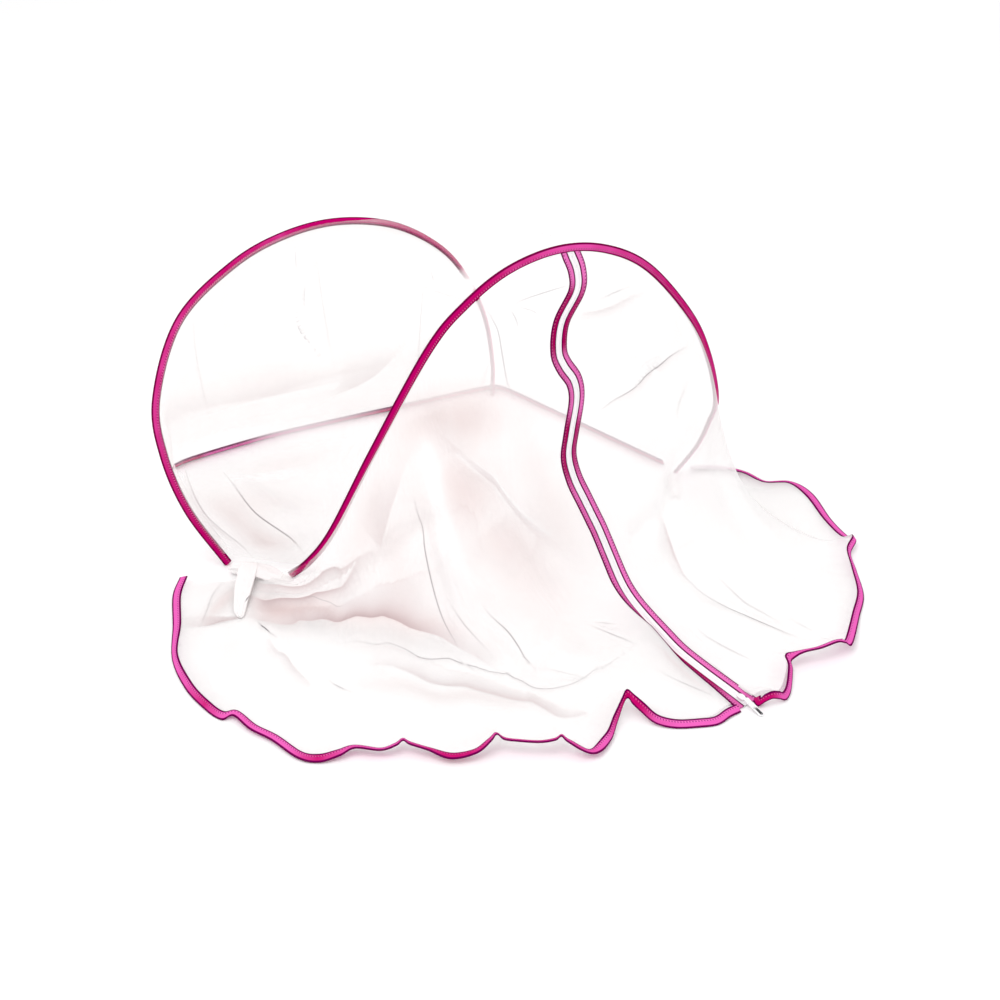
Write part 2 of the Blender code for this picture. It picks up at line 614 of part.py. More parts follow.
def build():
    """Models every piece."""
    for old in list(bpy.data.objects):
        bpy.data.objects.remove(old)
    net = make_material("white_net", (0.93, 0.92, 0.90), 0.85, NET_ALPHA)
    binding = make_material("magenta_binding", (0.62, 0.02, 0.19), 0.6)
    binding_light = make_material("pink_binding", (0.78, 0.10, 0.40), 0.6)
    tape = make_material("zip_white", (0.95, 0.94, 0.95), 0.5)

    back = hoop_line(BACK_FEET, BACK_LEAN, -1, BACK_HOOP, HOOP_STEPS)
    front = hoop_line(FRONT_FEET, FRONT_LEAN, 1, FRONT_HOOP, HOOP_STEPS)
    band = oval(BAND_HALF_WIDTH, BAND_HALF_THICK, BAND_SIDES)
    add_sweep("hoop_back", *back, band, binding)
    add_sweep("hoop_front", *front, band, binding)

    zip_centre, zip_side, zip_out = zip_line(front)
    tape_half = ZIP_TAPE_HALF
    outer = tape_half + ZIP_GAP + ZIP_BINDING_WIDTH
    face = ZIP_TAPE_THICK / 2
    coil_top = COIL_HALF * COIL_TOP_SHARE
    zip_section = [(-tape_half, -face), (tape_half, -face), (tape_half, face), (COIL_HALF, face),
                   (coil_top, face + COIL_RISE), (-coil_top, face + COIL_RISE), (-COIL_HALF, face),
                   (-tape_half, face)]
    add_sweep("zip_tape", zip_centre, zip_side, zip_out, zip_section, tape)
    for name, sign in (("zip_binding_left", -1), ("zip_binding_right", 1)):
        ends = sorted((sign * (tape_half + ZIP_GAP), sign * outer))
        add_sweep(name, zip_centre, zip_side, zip_out, strip(*ends, ZIP_BINDING_THICK), binding_light)

    edge_off = outer + ZIP_GAP
    foot_left = zip_centre[-1] - zip_side[-1] * (edge_off + HEM_END_GAP)
    foot_right = zip_centre[-1] + zip_side[-1] * (edge_off + HEM_END_GAP)
    line_left = spline(HEM_LEFT + ((*foot_left[:2], 0.0, HEM_END_ROLL),), LEFT_COLUMNS)
    line_right = spline(((*foot_right[:2], 0.0, HEM_END_ROLL),) + HEM_RIGHT, RIGHT_COLUMNS)
    frame_left = hem_frame(line_left, 1)
    frame_right = hem_frame(line_right, 1)
    back_line = spline([(*p, 0.0, BACK_HEM_ROLL) for p in BACK_HEM], BACK_COLUMNS)
    frame_back = hem_frame(back_line, -1)
    frames = {"hem_front_left": frame_left, "hem_front_right": frame_right, "hem_back": frame_back}
    for name, frame in frames.items():
        add_sweep(name, *frame, strip(0, HEM_WIDTH, HEM_THICK), binding_light)

    share_left = np.linspace(0, 1, LEFT_COLUMNS)
    share_right = np.linspace(0, 1, RIGHT_COLUMNS)
    edge_left = zip_centre[:-1] - zip_side[:-1] * edge_off
    edge_right = zip_centre[:-1] + zip_side[:-1] * edge_off
    grid_left = front_panel(front, mapped(LEFT_SPREAD, share_left), frame_left,
                            mapped(LEFT_SWEEP, share_left), np.zeros(LEFT_COLUMNS), edge_left, True)
    grid_right = front_panel(front, mapped(RIGHT_SPREAD, share_right), frame_right,
                             mapped(RIGHT_SWEEP, share_right), mapped(RIGHT_SEAM, share_right),
                             edge_right, False)
    add_sheet("net_front_left", folded(grid_left, 1, LEFT_FOLDS), 1, net)
    add_sheet("net_front_right", folded(grid_right, 1, RIGHT_FOLDS), 1, net)

    inner_back = hem_inner(frame_back, BACK_HEM_GAP)
    corner = np.argmax(back_line[:, 1])
    side_run = points_at(inner_back[corner:], np.linspace(CORNER_CUT, 1, TOP_ROWS))
    top_shares = np.linspace(*TOP_RANGE, TOP_COLUMNS - 1)
    first = np.vstack([line_share(back, top_shares)[0], side_run[:1]])
    second = np.vstack([line_share(front, top_shares)[0], side_run[-1:]])
    grid_top = ruled_panel(first, second, TOP_ROWS, bands_of(back, top_shares, 1),
                           bands_of(front, top_shares, 1), TOP_SAG, 1)
    grid_top[-1] = side_run
    add_sheet("net_top", folded(grid_top, 1, TOP_FOLDS), 1, net)

    for name, stations in (("gather_left", GATHER_LEFT), ("gather_right", GATHER_RIGHT)):
        centre, side, rise, sections = rolled_gather(stations, GATHER_STEPS)
        add_sweep(name, centre, side, rise, sections, net)
    flap = spline(GATHER_FLAP, GATHER_STEPS)
    across = np.linspace(-1, 1, FLAP_COLUMNS)[:, None] * (1.0, 0.0, 0.0)
    add_sheet("gather_flap", flap[:, None, :3] + across * flap[:, None, 3:4], 1, net, FLAP_THICK)

    foot = zip_centre[-1]
    ahead = unit(np.cross(zip_side[-1], (0.0, 0.0, 1.0)))
    add_slider(foot, ahead, zip_side[-1], tape)
    add_pull(foot, ahead, zip_side[-1], tape)

    wall_shares = np.linspace(*WALL_RANGE, WALL_COLUMNS - 1)
    left_run = np.linspace((*WALL_START, FLOOR_CLEAR), (*BACK_HEM[0], FLOOR_CLEAR), WALL_LEFT_COLUMNS)
    left_run = left_run[:-1]
    run_shares = np.linspace(0, 1 - CORNER_CUT, WALL_COLUMNS - len(left_run))
    back_run = points_at(inner_back[:corner + 1], run_shares)
    floor_run = np.vstack([left_run, back_run])
    first = np.vstack([line_share(back, wall_shares)[0], floor_run[-1:] + WALL_END])
    grid_wall = ruled_panel(first, floor_run, WALL_ROWS, bands_of(back, wall_shares, 1),
                            [None] * WALL_COLUMNS, WALL_SAG, -1)
    add_sheet("net_back", folded(grid_wall, -1, WALL_FOLDS), -1, net)


build()
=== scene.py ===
import math

import bpy
import numpy as np
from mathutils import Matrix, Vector


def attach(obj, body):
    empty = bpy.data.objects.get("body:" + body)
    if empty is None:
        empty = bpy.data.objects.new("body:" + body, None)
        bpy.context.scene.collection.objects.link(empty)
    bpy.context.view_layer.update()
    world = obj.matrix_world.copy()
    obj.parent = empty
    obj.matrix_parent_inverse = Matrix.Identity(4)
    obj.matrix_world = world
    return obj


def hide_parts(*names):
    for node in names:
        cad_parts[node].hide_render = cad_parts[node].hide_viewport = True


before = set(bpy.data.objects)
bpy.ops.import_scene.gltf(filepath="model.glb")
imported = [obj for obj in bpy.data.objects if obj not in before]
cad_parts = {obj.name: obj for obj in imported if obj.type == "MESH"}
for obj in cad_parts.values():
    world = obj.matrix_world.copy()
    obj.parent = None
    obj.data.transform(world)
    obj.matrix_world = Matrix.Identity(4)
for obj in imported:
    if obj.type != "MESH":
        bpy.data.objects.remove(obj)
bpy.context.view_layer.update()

# Sizes are millimetres on the floor plan: x right, y back, z up.
# placed() turns them into the part's metres.
planMiddle = np.array([-1.495, -108.87, 0.0])


def unit(vectors):
    return vectors / np.maximum(np.linalg.norm(vectors, axis=-1, keepdims=True), 1e-9)


def distances(line):
    # How far along the line each of its points is
    return np.concatenate([[0], np.cumsum(np.linalg.norm(np.diff(line, axis=0), axis=1))])


def pointsAt(points, shares):
    length = distances(points[:, :3])
    wanted = np.asarray(shares) * length[-1]
    return np.stack([np.interp(wanted, length, points[:, k]) for k in range(points.shape[1])], axis=1)


def spline(points, count):
    knots = np.asarray(points, float)
    padded = np.vstack([2 * knots[0] - knots[1], knots, 2 * knots[-1] - knots[-2]])
    fine = []
    for i in range(1, len(padded) - 2):
        a, b, c, d = padded[i - 1:i + 3]
        for t in np.linspace(0, 1, 40, endpoint=False):
            fine.append(0.5 * (2 * b + (c - a) * t + (2 * a - 5 * b + 4 * c - d) * t ** 2
                               + (3 * b - a - 3 * c + d) * t ** 3))
    fine.append(padded[-2])
    return pointsAt(np.array(fine), np.linspace(0, 1, count))


def mapped(table, shares):
    table = np.asarray(table, float)
    return np.interp(shares, table[:, 0], table[:, 1])


def lineShare(line, shares):
    # A line's points and its two side directions at these shares of its length
    joined = pointsAt(np.hstack(line), shares)
    return joined[:, :3], unit(joined[:, 3:6]), unit(joined[:, 6:])


def surfaceNormals(grid, side):
    return unit(np.cross(np.gradient(grid, axis=0), np.gradient(grid, axis=1))) * side


def placed(points):
    return (np.asarray(points) - planMiddle) / 1000


def clearSelection():
    bpy.ops.object.select_all(action="DESELECT")


def editAll():
    bpy.ops.object.mode_set(mode="EDIT")
    bpy.ops.mesh.select_all(action="SELECT")


def editDone():
    bpy.ops.object.mode_set(mode="OBJECT")


def facedOutwards():
    editAll()
    bpy.ops.mesh.normals_make_consistent(inside=False)
    editDone()


def movePoints(mesh, points):
    mesh.vertices.foreach_set("co", placed(points).astype(np.float32).reshape(-1))


def thickened(piece, thick):
    wall = piece.modifiers.new("thick", "SOLIDIFY")
    wall.thickness = thick / 1000
    wall.offset = 0.0
    bpy.ops.object.modifier_apply(modifier="thick")


def clothPiece(name, grid, cloth, marks, side=None):
    # A grid primitive whose points are moved to the draped places
    rows, columns = grid.shape[:2]
    clearSelection()
    bpy.ops.mesh.primitive_grid_add(x_subdivisions=columns - 1, y_subdivisions=rows - 1, size=1)
    piece = bpy.context.object
    piece.name = name
    mesh = piece.data
    movePoints(mesh, grid)
    corners = np.empty(len(mesh.loops), np.int32)
    mesh.loops.foreach_get("vertex_index", corners)
    lengths = cloth.reshape(-1, 2)[corners].astype(np.float32)
    mesh.uv_layers.active.data.foreach_set("uv", lengths.reshape(-1))
    for mark, values in marks.items():
        layer = mesh.attributes.new(mark, "FLOAT", "POINT")
        layer.data.foreach_set("value", np.asarray(values, np.float32).reshape(-1))
    mesh.update()
    if side is not None:
        facing = np.empty(len(mesh.polygons) * 3, np.float32)
        mesh.polygons.foreach_get("normal", facing)
        wanted = surfaceNormals(grid, side)[:-1, :-1].reshape(-1, 3)
        if (facing.reshape(-1, 3) * wanted).sum() < 0:
            editAll()
            bpy.ops.mesh.flip_normals()
            editDone()
    bpy.ops.object.shade_smooth()
    return piece


def sweptPiece(name, centre, sideA, sideB, section, marks, crease=50.0, across=None):
    # A closed tube: its section is carried along a line, its seam merged and its ends filled
    count = len(centre)
    section = np.asarray(section, float)
    if section.ndim == 2:
        section = np.repeat(section[None], count, axis=0)
    closed = np.concatenate([section, section[:, :1]], axis=1)
    grid = centre[:, None] + closed[:, :, :1] * sideA[:, None] + closed[:, :, 1:] * sideB[:, None]
    grid[:, :, 2] = np.maximum(grid[:, :, 2], 0.0)
    length = distances(centre) / 1000
    # Across the cloth the place on the section itself, so that a pattern keeps to its face
    across = closed[:, :, 0] if across is None else np.append(across, across[0])
    cloth = np.stack(np.broadcast_arrays(across / 1000, length[:, None]), axis=2)
    marks = {mark: np.repeat(values[:, None], closed.shape[1], axis=1) for mark, values in marks.items()}
    piece = clothPiece(name, grid, cloth, marks)
    editAll()
    bpy.ops.mesh.remove_doubles(threshold=0.000002)
    bpy.ops.mesh.fill_holes(sides=closed.shape[1])
    editDone()
    facedOutwards()
    bpy.ops.object.shade_smooth_by_angle(angle=math.radians(crease))
    return piece


def ovalSection(halfA, halfB, sides):
    angle = np.linspace(0, 2 * np.pi, sides, endpoint=False)
    return np.column_stack([halfA * np.cos(angle), halfB * np.sin(angle)])


def tapeSection(start, end, thick):
    # Folded tape: thin at its sewn edge, with rounded borders and a slight crown
    half = thick / 2
    across = np.linspace(start + 0.35, end - 0.35, 11)
    share = (across - start) / (end - start)
    crown = half * (0.80 + 0.20 * np.sin(np.pi * share))
    top = np.column_stack([across, crown])
    bottom = np.column_stack([across[::-1], -crown[::-1]])
    return np.vstack([top, [[end, half * 0.35]], [[end, -half * 0.35]], bottom,
                      [[start, -half * 0.35]], [[start, half * 0.35]]])


class Finish:
    # A Principled material with short ways to add its nodes; lengths are in metres
    def __init__(self, name, **sockets):
        self.material = bpy.data.materials.new(name)
        self.material.use_nodes = True
        self.nodes = self.material.node_tree.nodes
        self.links = self.material.node_tree.links
        self.shader = self.nodes["Principled BSDF"]
        for socket, value in sockets.items():
            self.shader.inputs[socket.replace("_", " ")].default_value = value

    def add(self, kind, **settings):
        node = self.nodes.new(kind)
        for key, value in settings.items():
            setattr(node, key, value)
        return node

    def put(self, socket, value):
        if isinstance(value, bpy.types.NodeSocket):
            self.links.new(value, socket)
        else:
            socket.default_value = value

    def math(self, operation, a, b=0.0):
        node = self.add("ShaderNodeMath", operation=operation)
        for socket, value in zip(node.inputs, (a, b)):
            self.put(socket, value)
        return node.outputs[0]

    def times(self, a, b):
        return self.math("MULTIPLY", a, b)

    def plus(self, a, b):
        return self.math("ADD", a, b)

    def minus(self, a, b):
        return self.math("SUBTRACT", a, b)

    def least(self, a, b):
        return self.math("MINIMUM", a, b)

    def most(self, a, b):
        return self.math("MAXIMUM", a, b)

    def size(self, a):
        return self.math("ABSOLUTE", a)

    def wave(self, value, pitch):
        return self.math("SINE", self.times(value, 2 * math.pi / pitch))

    def between(self, value, low, high, toLow=0.0, toHigh=1.0):
        node = self.add("ShaderNodeMapRange", interpolation_type="SMOOTHSTEP")
        names = ("Value", "From Min", "From Max", "To Min", "To Max")
        for name, given in zip(names, (value, low, high, toLow, toHigh)):
            self.put(node.inputs[name], given)
        return node.outputs[0]

    def mix(self, share, a, b):
        node = self.add("ShaderNodeMix", data_type="RGBA", blend_type="MIX")
        for place, value in ((0, share), (6, a), (7, b)):
            self.put(node.inputs[place], value)
        return node.outputs[2]

    def noise(self, scale, detail=3.0):
        node = self.add("ShaderNodeTexNoise")
        node.inputs["Scale"].default_value = scale
        node.inputs["Detail"].default_value = detail
        self.links.new(self.add("ShaderNodeTexCoord").outputs["Object"], node.inputs["Vector"])
        return node.outputs["Fac"]

    def cloth(self):
        split = self.add("ShaderNodeSeparateXYZ")
        self.links.new(self.add("ShaderNodeUVMap").outputs[0], split.inputs[0])
        return split.outputs[0], split.outputs[1]

    def mark(self, name):
        return self.add("ShaderNodeAttribute", attribute_name=name).outputs["Fac"]

    def bump(self, height, strength, distance):
        node = self.add("ShaderNodeBump")
        node.inputs["Strength"].default_value = strength
        node.inputs["Distance"].default_value = distance
        self.links.new(height, node.inputs["Height"])
        self.links.new(node.outputs[0], self.shader.inputs["Normal"])

    def colour(self, value):
        self.put(self.shader.inputs["Base Color"], value)


# The crease colour, like the pinkish and fold colours, is painted shade; the speck colour is the yarn's
# own random tone
netThread = {
    "pitch": 0.0006, "spread": 0.25, "middle": 0.405, "least": 0.02, "most": 0.97, "clouds": 16.0,
    "specks": 140.0, "speck": (0.80, 0.77, 0.77, 1), "paintedPinkShade": (0.73, 0.60, 0.585, 1),
    "fold": (0.50, 0.375, 0.38, 1), "crease": (0.24, 0.22, 0.23, 1), "creaseHalf": (0.35, 1.35),
}


def netFinish(name, cover, tint, shade, dense=0.5):
    made = Finish(name, Roughness=0.78, Specular_IOR_Level=0.2, Sheen_Weight=0.15, Sheen_Roughness=0.5)
    warp, weft = (made.size(made.wave(way, 2 * netThread["pitch"])) for way in made.cloth())
    hole = made.times(warp, weft)  # 1 in the middle of a hole, 0 on a thread
    uneven = made.noise(netThread["clouds"], 3.0)
    # Painted shade: a pressed crease is painted as a fine darker line, a fold as a soft shade that ends at
    # its edge
    away = made.size(made.mark("creaseAway"))
    sharp = made.between(away, *netThread["creaseHalf"], 1.0, 0.0)
    crease = made.times(made.mark("creaseMark"), sharp)
    # Where pinkish shade is painted on the net; it also thickens the net's cover there
    paintedPinkShade = made.mark("paintedPinkShade")
    beside = made.mark("shadeAway")
    soft = made.math("EXPONENT", made.math("DIVIDE", made.times(beside, -1.0), made.mark("shadeReach")))
    soft = made.times(made.least(soft, 1.0), made.between(beside, -1.6, 0.6))
    fold = made.times(made.mark("shadeMark"), soft)
    bunched = made.plus(made.times(fold, 0.45), made.times(crease, 0.7))
    bunched = made.plus(bunched, made.times(paintedPinkShade, dense))
    base = made.plus(made.plus(cover, made.mark("veil")), bunched)
    base = made.plus(base, made.times(made.minus(uneven, 0.5), 0.08))
    thread = made.times(made.minus(netThread["middle"], hole), netThread["spread"])
    alpha = made.least(made.most(made.plus(base, thread), netThread["least"]), netThread["most"])
    made.put(made.shader.inputs["Alpha"], alpha)
    fine = made.noise(netThread["specks"], 2.0)
    body = made.mix(made.between(uneven, 0.3, 0.75, 0.0, 0.6), tint, shade)
    body = made.mix(made.times(fine, 0.06), body, netThread["speck"])
    # Painted pinkish shade
    body = made.mix(paintedPinkShade, body, netThread["paintedPinkShade"])
    # Painted shade beside the folds
    body = made.mix(made.times(fold, 0.95), body, netThread["fold"])
    # Painted shade along the creases: a fine dark line
    made.colour(made.mix(made.least(made.times(crease, 1.3), 1.0), body, netThread["crease"]))
    made.bump(made.minus(made.times(crease, 3.0), made.times(hole, 0.5)), 0.2, 0.0003)
    return made.material


bandThread = {
    "rib": 0.0009, "twill": 0.0024, "border": (0.14, 0.22),
    "stitch": (0.90, 0.45, 0.68, 1), "pale": (0.86, 0.76, 0.81, 1),
}


def tapeFinish(name, light, deep, border, low, high, seam):
    # low and high are the borders of the tape across its section, in metres
    made = Finish(name, Roughness=0.75, Specular_IOR_Level=0.0)
    x, y = made.cloth()
    # Painted shade along the binding: the tone mark mixes its lit colour towards its shaded one, with
    # random unevenness
    tone = made.mark("tone")
    uneven = made.noise(45.0, 4.0)
    depth = made.plus(tone, made.times(made.minus(uneven, 0.5), 0.5))
    body = made.mix(made.between(depth, 0.0, 1.0), light, deep)
    # Ribs across the tape, and a twill that runs at a slant
    rib = made.wave(y, bandThread["rib"])
    twill = made.wave(made.plus(y, made.times(x, 0.9)), bandThread["twill"])
    weave = made.times(made.plus(made.times(rib, 0.5), twill), 0.5)
    body = made.mix(made.between(weave, -0.2, 1.0, 0.0, 0.22), body, border)
    # Painted shade on the rolled borders
    width = high - low
    outer, inner = (share * width for share in bandThread["border"])
    left = made.between(x, low + outer, low + inner, 1.0, 0.0)
    right = made.between(x, high - inner, high - outer, 0.0, 1.0)
    body = made.mix(made.most(left, right), body, border)
    body = made.mix(made.mark("pale"), body, bandThread["pale"])
    height = made.times(weave, 0.4)
    # Stitches in a groove, with painted shade in the pit between two of them
    share, reach, pitch = seam
    off = made.size(made.minus(x, low + share * width))
    groove = made.between(off, reach * 0.5, reach, 1.0, 0.0)
    run = made.wave(made.plus(y, made.times(x, 0.6)), pitch)
    dash = made.times(groove, made.between(run, -0.25, 0.25))
    pit = made.times(groove, made.between(run, -0.1, -0.7))
    body = made.mix(made.times(dash, 0.2), body, bandThread["stitch"])
    made.colour(made.mix(made.times(pit, 0.85), body, border))
    height = made.plus(height, made.minus(made.times(dash, 1.4), groove))
    made.put(made.shader.inputs["Roughness"], made.between(uneven, 0.3, 0.7, 0.66, 0.84))
    made.bump(height, 0.4, 0.0004)
    return made.material


zipThread = {
    "rib": 0.0008, "chevron": 0.0017, "coilHalf": (0.0015, 0.0019),
    "cloth": ((0.93, 0.90, 0.92, 1), (0.78, 0.70, 0.75, 1)),
    "teeth": ((0.95, 0.94, 0.95, 1), (0.86, 0.84, 0.86, 1)),
}


def zipTapeFinish():
    made = Finish("zipWhite", Roughness=0.5, Specular_IOR_Level=0.4, Sheen_Weight=0.15,
                  Sheen_Roughness=0.4)
    x, y = made.cloth()
    rib = made.wave(y, zipThread["rib"])
    chevron = made.wave(made.plus(y, made.size(x)), zipThread["chevron"])
    coil = made.between(made.size(x), *zipThread["coilHalf"], 1.0, 0.0)
    weave = made.times(made.plus(rib, chevron), made.times(made.minus(1.0, coil), 0.5))
    uneven = made.noise(60.0, 3.0)
    cloth = made.mix(made.between(weave, -1.0, 1.0, 0.0, 0.25), *zipThread["cloth"])
    teeth = made.mix(uneven, *zipThread["teeth"])
    made.colour(made.mix(coil, cloth, teeth))
    made.bump(made.plus(weave, made.times(uneven, 0.3)), 0.35, 0.0003)
    return made.material


lacquerLook = {
    "wear": 420.0, "patch": 160.0, "white": (0.92, 0.92, 0.93, 1), "bare": (0.62, 0.62, 0.64, 1),
    "hole": (0.03, 0.03, 0.035, 1),
}


def lacquerFinish():
    made = Finish("sliderLacquer", Roughness=0.28, Specular_IOR_Level=0.5, Coat_Weight=0.4,
                  Coat_Roughness=0.15)
    wear = made.noise(lacquerLook["wear"], 5.0)
    patch = made.noise(lacquerLook["patch"], 3.0)
    rubbed = made.between(made.plus(made.times(wear, 0.5), made.times(patch, 0.5)), 0.58, 0.70)
    body = made.mix(rubbed, lacquerLook["white"], lacquerLook["bare"])
    # Painted shade: the eye round the tab's hole is coloured near black
    made.colour(made.mix(made.between(made.mark("eye"), 0.55, 0.75), body, lacquerLook["hole"]))
    made.put(made.shader.inputs["Roughness"], made.between(rubbed, 0.0, 1.0, 0.26, 0.42))
    made.put(made.shader.inputs["Metallic"], made.times(rubbed, 0.7))
    made.bump(wear, 0.12, 0.00008)
    return made.material


def floorFinish(colour):
    made = Finish("paleFloor", Roughness=0.85, Specular_IOR_Level=0.1)
    made.colour((*colour, 1))
    return made.material


# Cover, light and dark tint of each net, and how dense it looks where pinkish shade is painted on it
netTints = {
    "netTop": ("netSheer", 0.16, (0.98, 0.975, 0.965, 1), (0.93, 0.91, 0.90, 1), 0.9),
    "netBack": ("netBackCloth", 0.42, (0.98, 0.96, 0.95, 1), (0.93, 0.88, 0.87, 1), 0.5),
    "netFront": ("netFrontCloth", 0.60, (0.99, 0.98, 0.975, 1), (0.95, 0.915, 0.91, 1), 0.5),
    "gather": ("netGathered", 0.93, (0.97, 0.95, 0.945, 1), (0.91, 0.85, 0.85, 1), 0.5),
}
# Lit and shaded colour of each binding's dye, the colour of its painted border shade, its two edges in
# metres,
# and its seam: share across, half width and pitch
zipDyeAndShades = ((0.80, 0.17, 0.50, 1), (0.36, 0.001, 0.08, 1), (0.12, 0.001, 0.055, 1))
bandDyesAndShades = {
    "hoopBand": ("hoopBinding", (0.80, 0.09, 0.42, 1), (0.50, 0.001, 0.13, 1), (0.16, 0.001, 0.05, 1),
                 -0.0052, 0.0052, (0.66, 0.0010, 0.0034)),
    "hemBand": ("hemBinding", (0.84, 0.13, 0.50, 1), (0.56, 0.002, 0.14, 1), (0.14, 0.001, 0.07, 1),
                0.0, 0.011, (0.68, 0.0009, 0.0036)),
    "zipBandLeft": ("zipBindingLeft", *zipDyeAndShades, -0.01415, -0.00495, (0.32, 0.0009, 0.0036)),
    "zipBandRight": ("zipBindingRight", *zipDyeAndShades, 0.00495, 0.01415, (0.68, 0.0009, 0.0036)),
}
finishes = {key: netFinish(*values) for key, values in netTints.items()}
finishes.update({key: tapeFinish(*values) for key, values in bandDyesAndShades.items()})
finishes.update({"zipTape": zipTapeFinish(), "lacquer": lacquerFinish()})
print("finishes made")


def finished(piece, finish, node):
    piece.data.materials.clear()
    piece.data.materials.append(finishes[finish])
    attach(piece, "root")
    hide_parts(node)
    return piece


cameraLook = {"reach": 3.0, "down": 35.0, "lens": 83.09, "sensor": 36.0, "clipEnd": 60.0, "aside": -9.1}

cameraData = bpy.data.cameras.new("view")
cameraData.lens = cameraLook["lens"]
cameraData.sensor_width = cameraLook["sensor"]
cameraData.clip_end = cameraLook["clipEnd"]
camera = bpy.data.objects.new("view", cameraData)
scene = bpy.context.scene
scene.collection.objects.link(camera)
aim = Vector(placed((cameraLook["aside"], 0.0, 0.0)))
down = math.radians(cameraLook["down"])
camera.location = aim + Vector((0, -math.cos(down), math.sin(down))) * cameraLook["reach"]
camera.rotation_euler = (math.pi / 2 - down, 0, 0)
bpy.context.scene.camera = camera

lightLook = {
    "sky": (1.0, 0.995, 0.995, 1), "skyPower": 0.84, "aim": (0, 0, 0.15),
    # Place and size in metres, power in watts
    "lamps": {"key": ((-0.9, -1.1, 2.6), 2.0, 30.0), "fill": ((1.9, -1.0, 1.8), 2.2, 8.0),
              "rim": ((0.4, 2.0, 2.0), 2.0, 6.0)},
    "floor": (0.97, 0.968, 0.968), "floorSize": 24, "floorPlace": (0, 2, -0.0006),
}

scene.view_settings.view_transform = "Standard"
scene.view_settings.look = "None"
scene.world = bpy.data.worlds.new("studio")
scene.world.use_nodes = True
sky = scene.world.node_tree.nodes["Background"]
sky.inputs[0].default_value = lightLook["sky"]
sky.inputs[1].default_value = lightLook["skyPower"]

for name, (place, size, watts) in lightLook["lamps"].items():
    data = bpy.data.lights.new(name, "AREA")
    data.shape = "SQUARE"
    data.size = size
    data.energy = watts
    lamp = bpy.data.objects.new(name, data)
    scene.collection.objects.link(lamp)
    lamp.location = place
    lamp.rotation_euler = (Vector(lightLook["aim"]) - Vector(place)).to_track_quat("-Z", "Y").to_euler()

clearSelection()
bpy.ops.mesh.primitive_plane_add(size=lightLook["floorSize"], location=lightLook["floorPlace"])
floor = bpy.context.object
floor.name = "paleFloorPlane"
bpy.ops.object.transform_apply(location=True, rotation=True, scale=True)
floor.data.materials.append(floorFinish(lightLook["floor"]))
print("camera, light and floor set")


hoopLook = {
    "halfWidth": 5.2, "halfThick": 2.5, "roll": 25.0, "sides": 20, "steps": 480,
    "backFeet": ((-349.0, -140.0, 2.2), (-20.0, 252.0, 2.2)),
    "frontFeet": ((-269.0, -167.0, 3.4), (217.0, 55.0, 3.4)),
    "backLean": 17.0, "frontLean": 16.0,
    # Along the line between the feet and up the hoop's plane
    "backShape": (
        (0, 0), (-34, 90), (-44, 170), (-30, 239), (36, 313), (138, 344), (230, 347), (321, 330),
        (410, 291), (476, 238), (513, 184), (533, 112), (528, 46), (512, 0),
    ),
    "frontShape": (
        (0, 0), (24, 18), (52, 67), (95, 199), (151, 355), (190, 416), (239, 458), (300, 473), (363, 456),
        (427, 407), (500, 308), (543, 223), (573, 134), (572, 92), (563, 46), (540, 2),
    ),
    # Share from the left foot, how deep the painted shade is
    "backTone": (
        (0, 1), (0.1, 0.8), (0.18, 0.55), (0.3, 0.6), (0.42, 0.85), (0.5, 0.6), (0.56, 1.1), (1, 1.2),
    ),
    "frontTone": (
        (0, 1.3), (0.3, 1.2), (0.42, 0.9), (0.5, 0.3), (0.56, 0.4), (0.65, 0.75), (0.8, 0.8), (1, 0.5),
    ),
    # Share from the left foot, how far net lies over the binding
    "backPale": ((0, 0), (1, 0)),
    "frontPale": ((0, 0), (0.86, 0), (0.9, 0.2), (1, 0.25)),
}


def hoopLine(feet, lean, frontSign, shape, count):
    start = np.array(feet[0])
    along = unit(np.array(feet[1]) - start)
    front = np.array([along[1], -along[0], 0.0])
    angle = math.radians(lean) * frontSign
    up = math.cos(angle) * np.array([0.0, 0.0, 1.0]) + math.sin(angle) * front
    face = math.cos(angle) * front - math.sin(angle) * np.array([0.0, 0.0, 1.0])
    flat = spline(shape, count)
    centre = start + flat[:, :1] * along + flat[:, 1:] * up
    way = unit(np.gradient(centre, axis=0))
    inward = unit(np.cross(way, face))
    roll = math.radians(hoopLook["roll"])
    broad = math.cos(roll) * inward + math.sin(roll) * face
    return centre, broad, np.cross(way, broad)


def bandReach(direction, broad, narrow):
    a = direction @ broad / hoopLook["halfWidth"]
    b = direction @ narrow / hoopLook["halfThick"]
    return 1 / max(math.hypot(a, b), 1 / hoopLook["halfWidth"])


hoops = {}
band = ovalSection(hoopLook["halfWidth"], hoopLook["halfThick"], hoopLook["sides"])
share = np.linspace(0, 1, hoopLook["steps"])
for key, sign in (("back", -1), ("front", 1)):
    hoops[key] = hoopLine(hoopLook[key + "Feet"], hoopLook[key + "Lean"], sign, hoopLook[key + "Shape"],
                          hoopLook["steps"])
    marks = {"tone": mapped(hoopLook[key + "Tone"], share), "pale": mapped(hoopLook[key + "Pale"], share)}
    piece = sweptPiece("hoop" + key.title() + "Band", *hoops[key], band, marks)
    finished(piece, "hoopBand", "hoop_" + key)
print("hoops made")


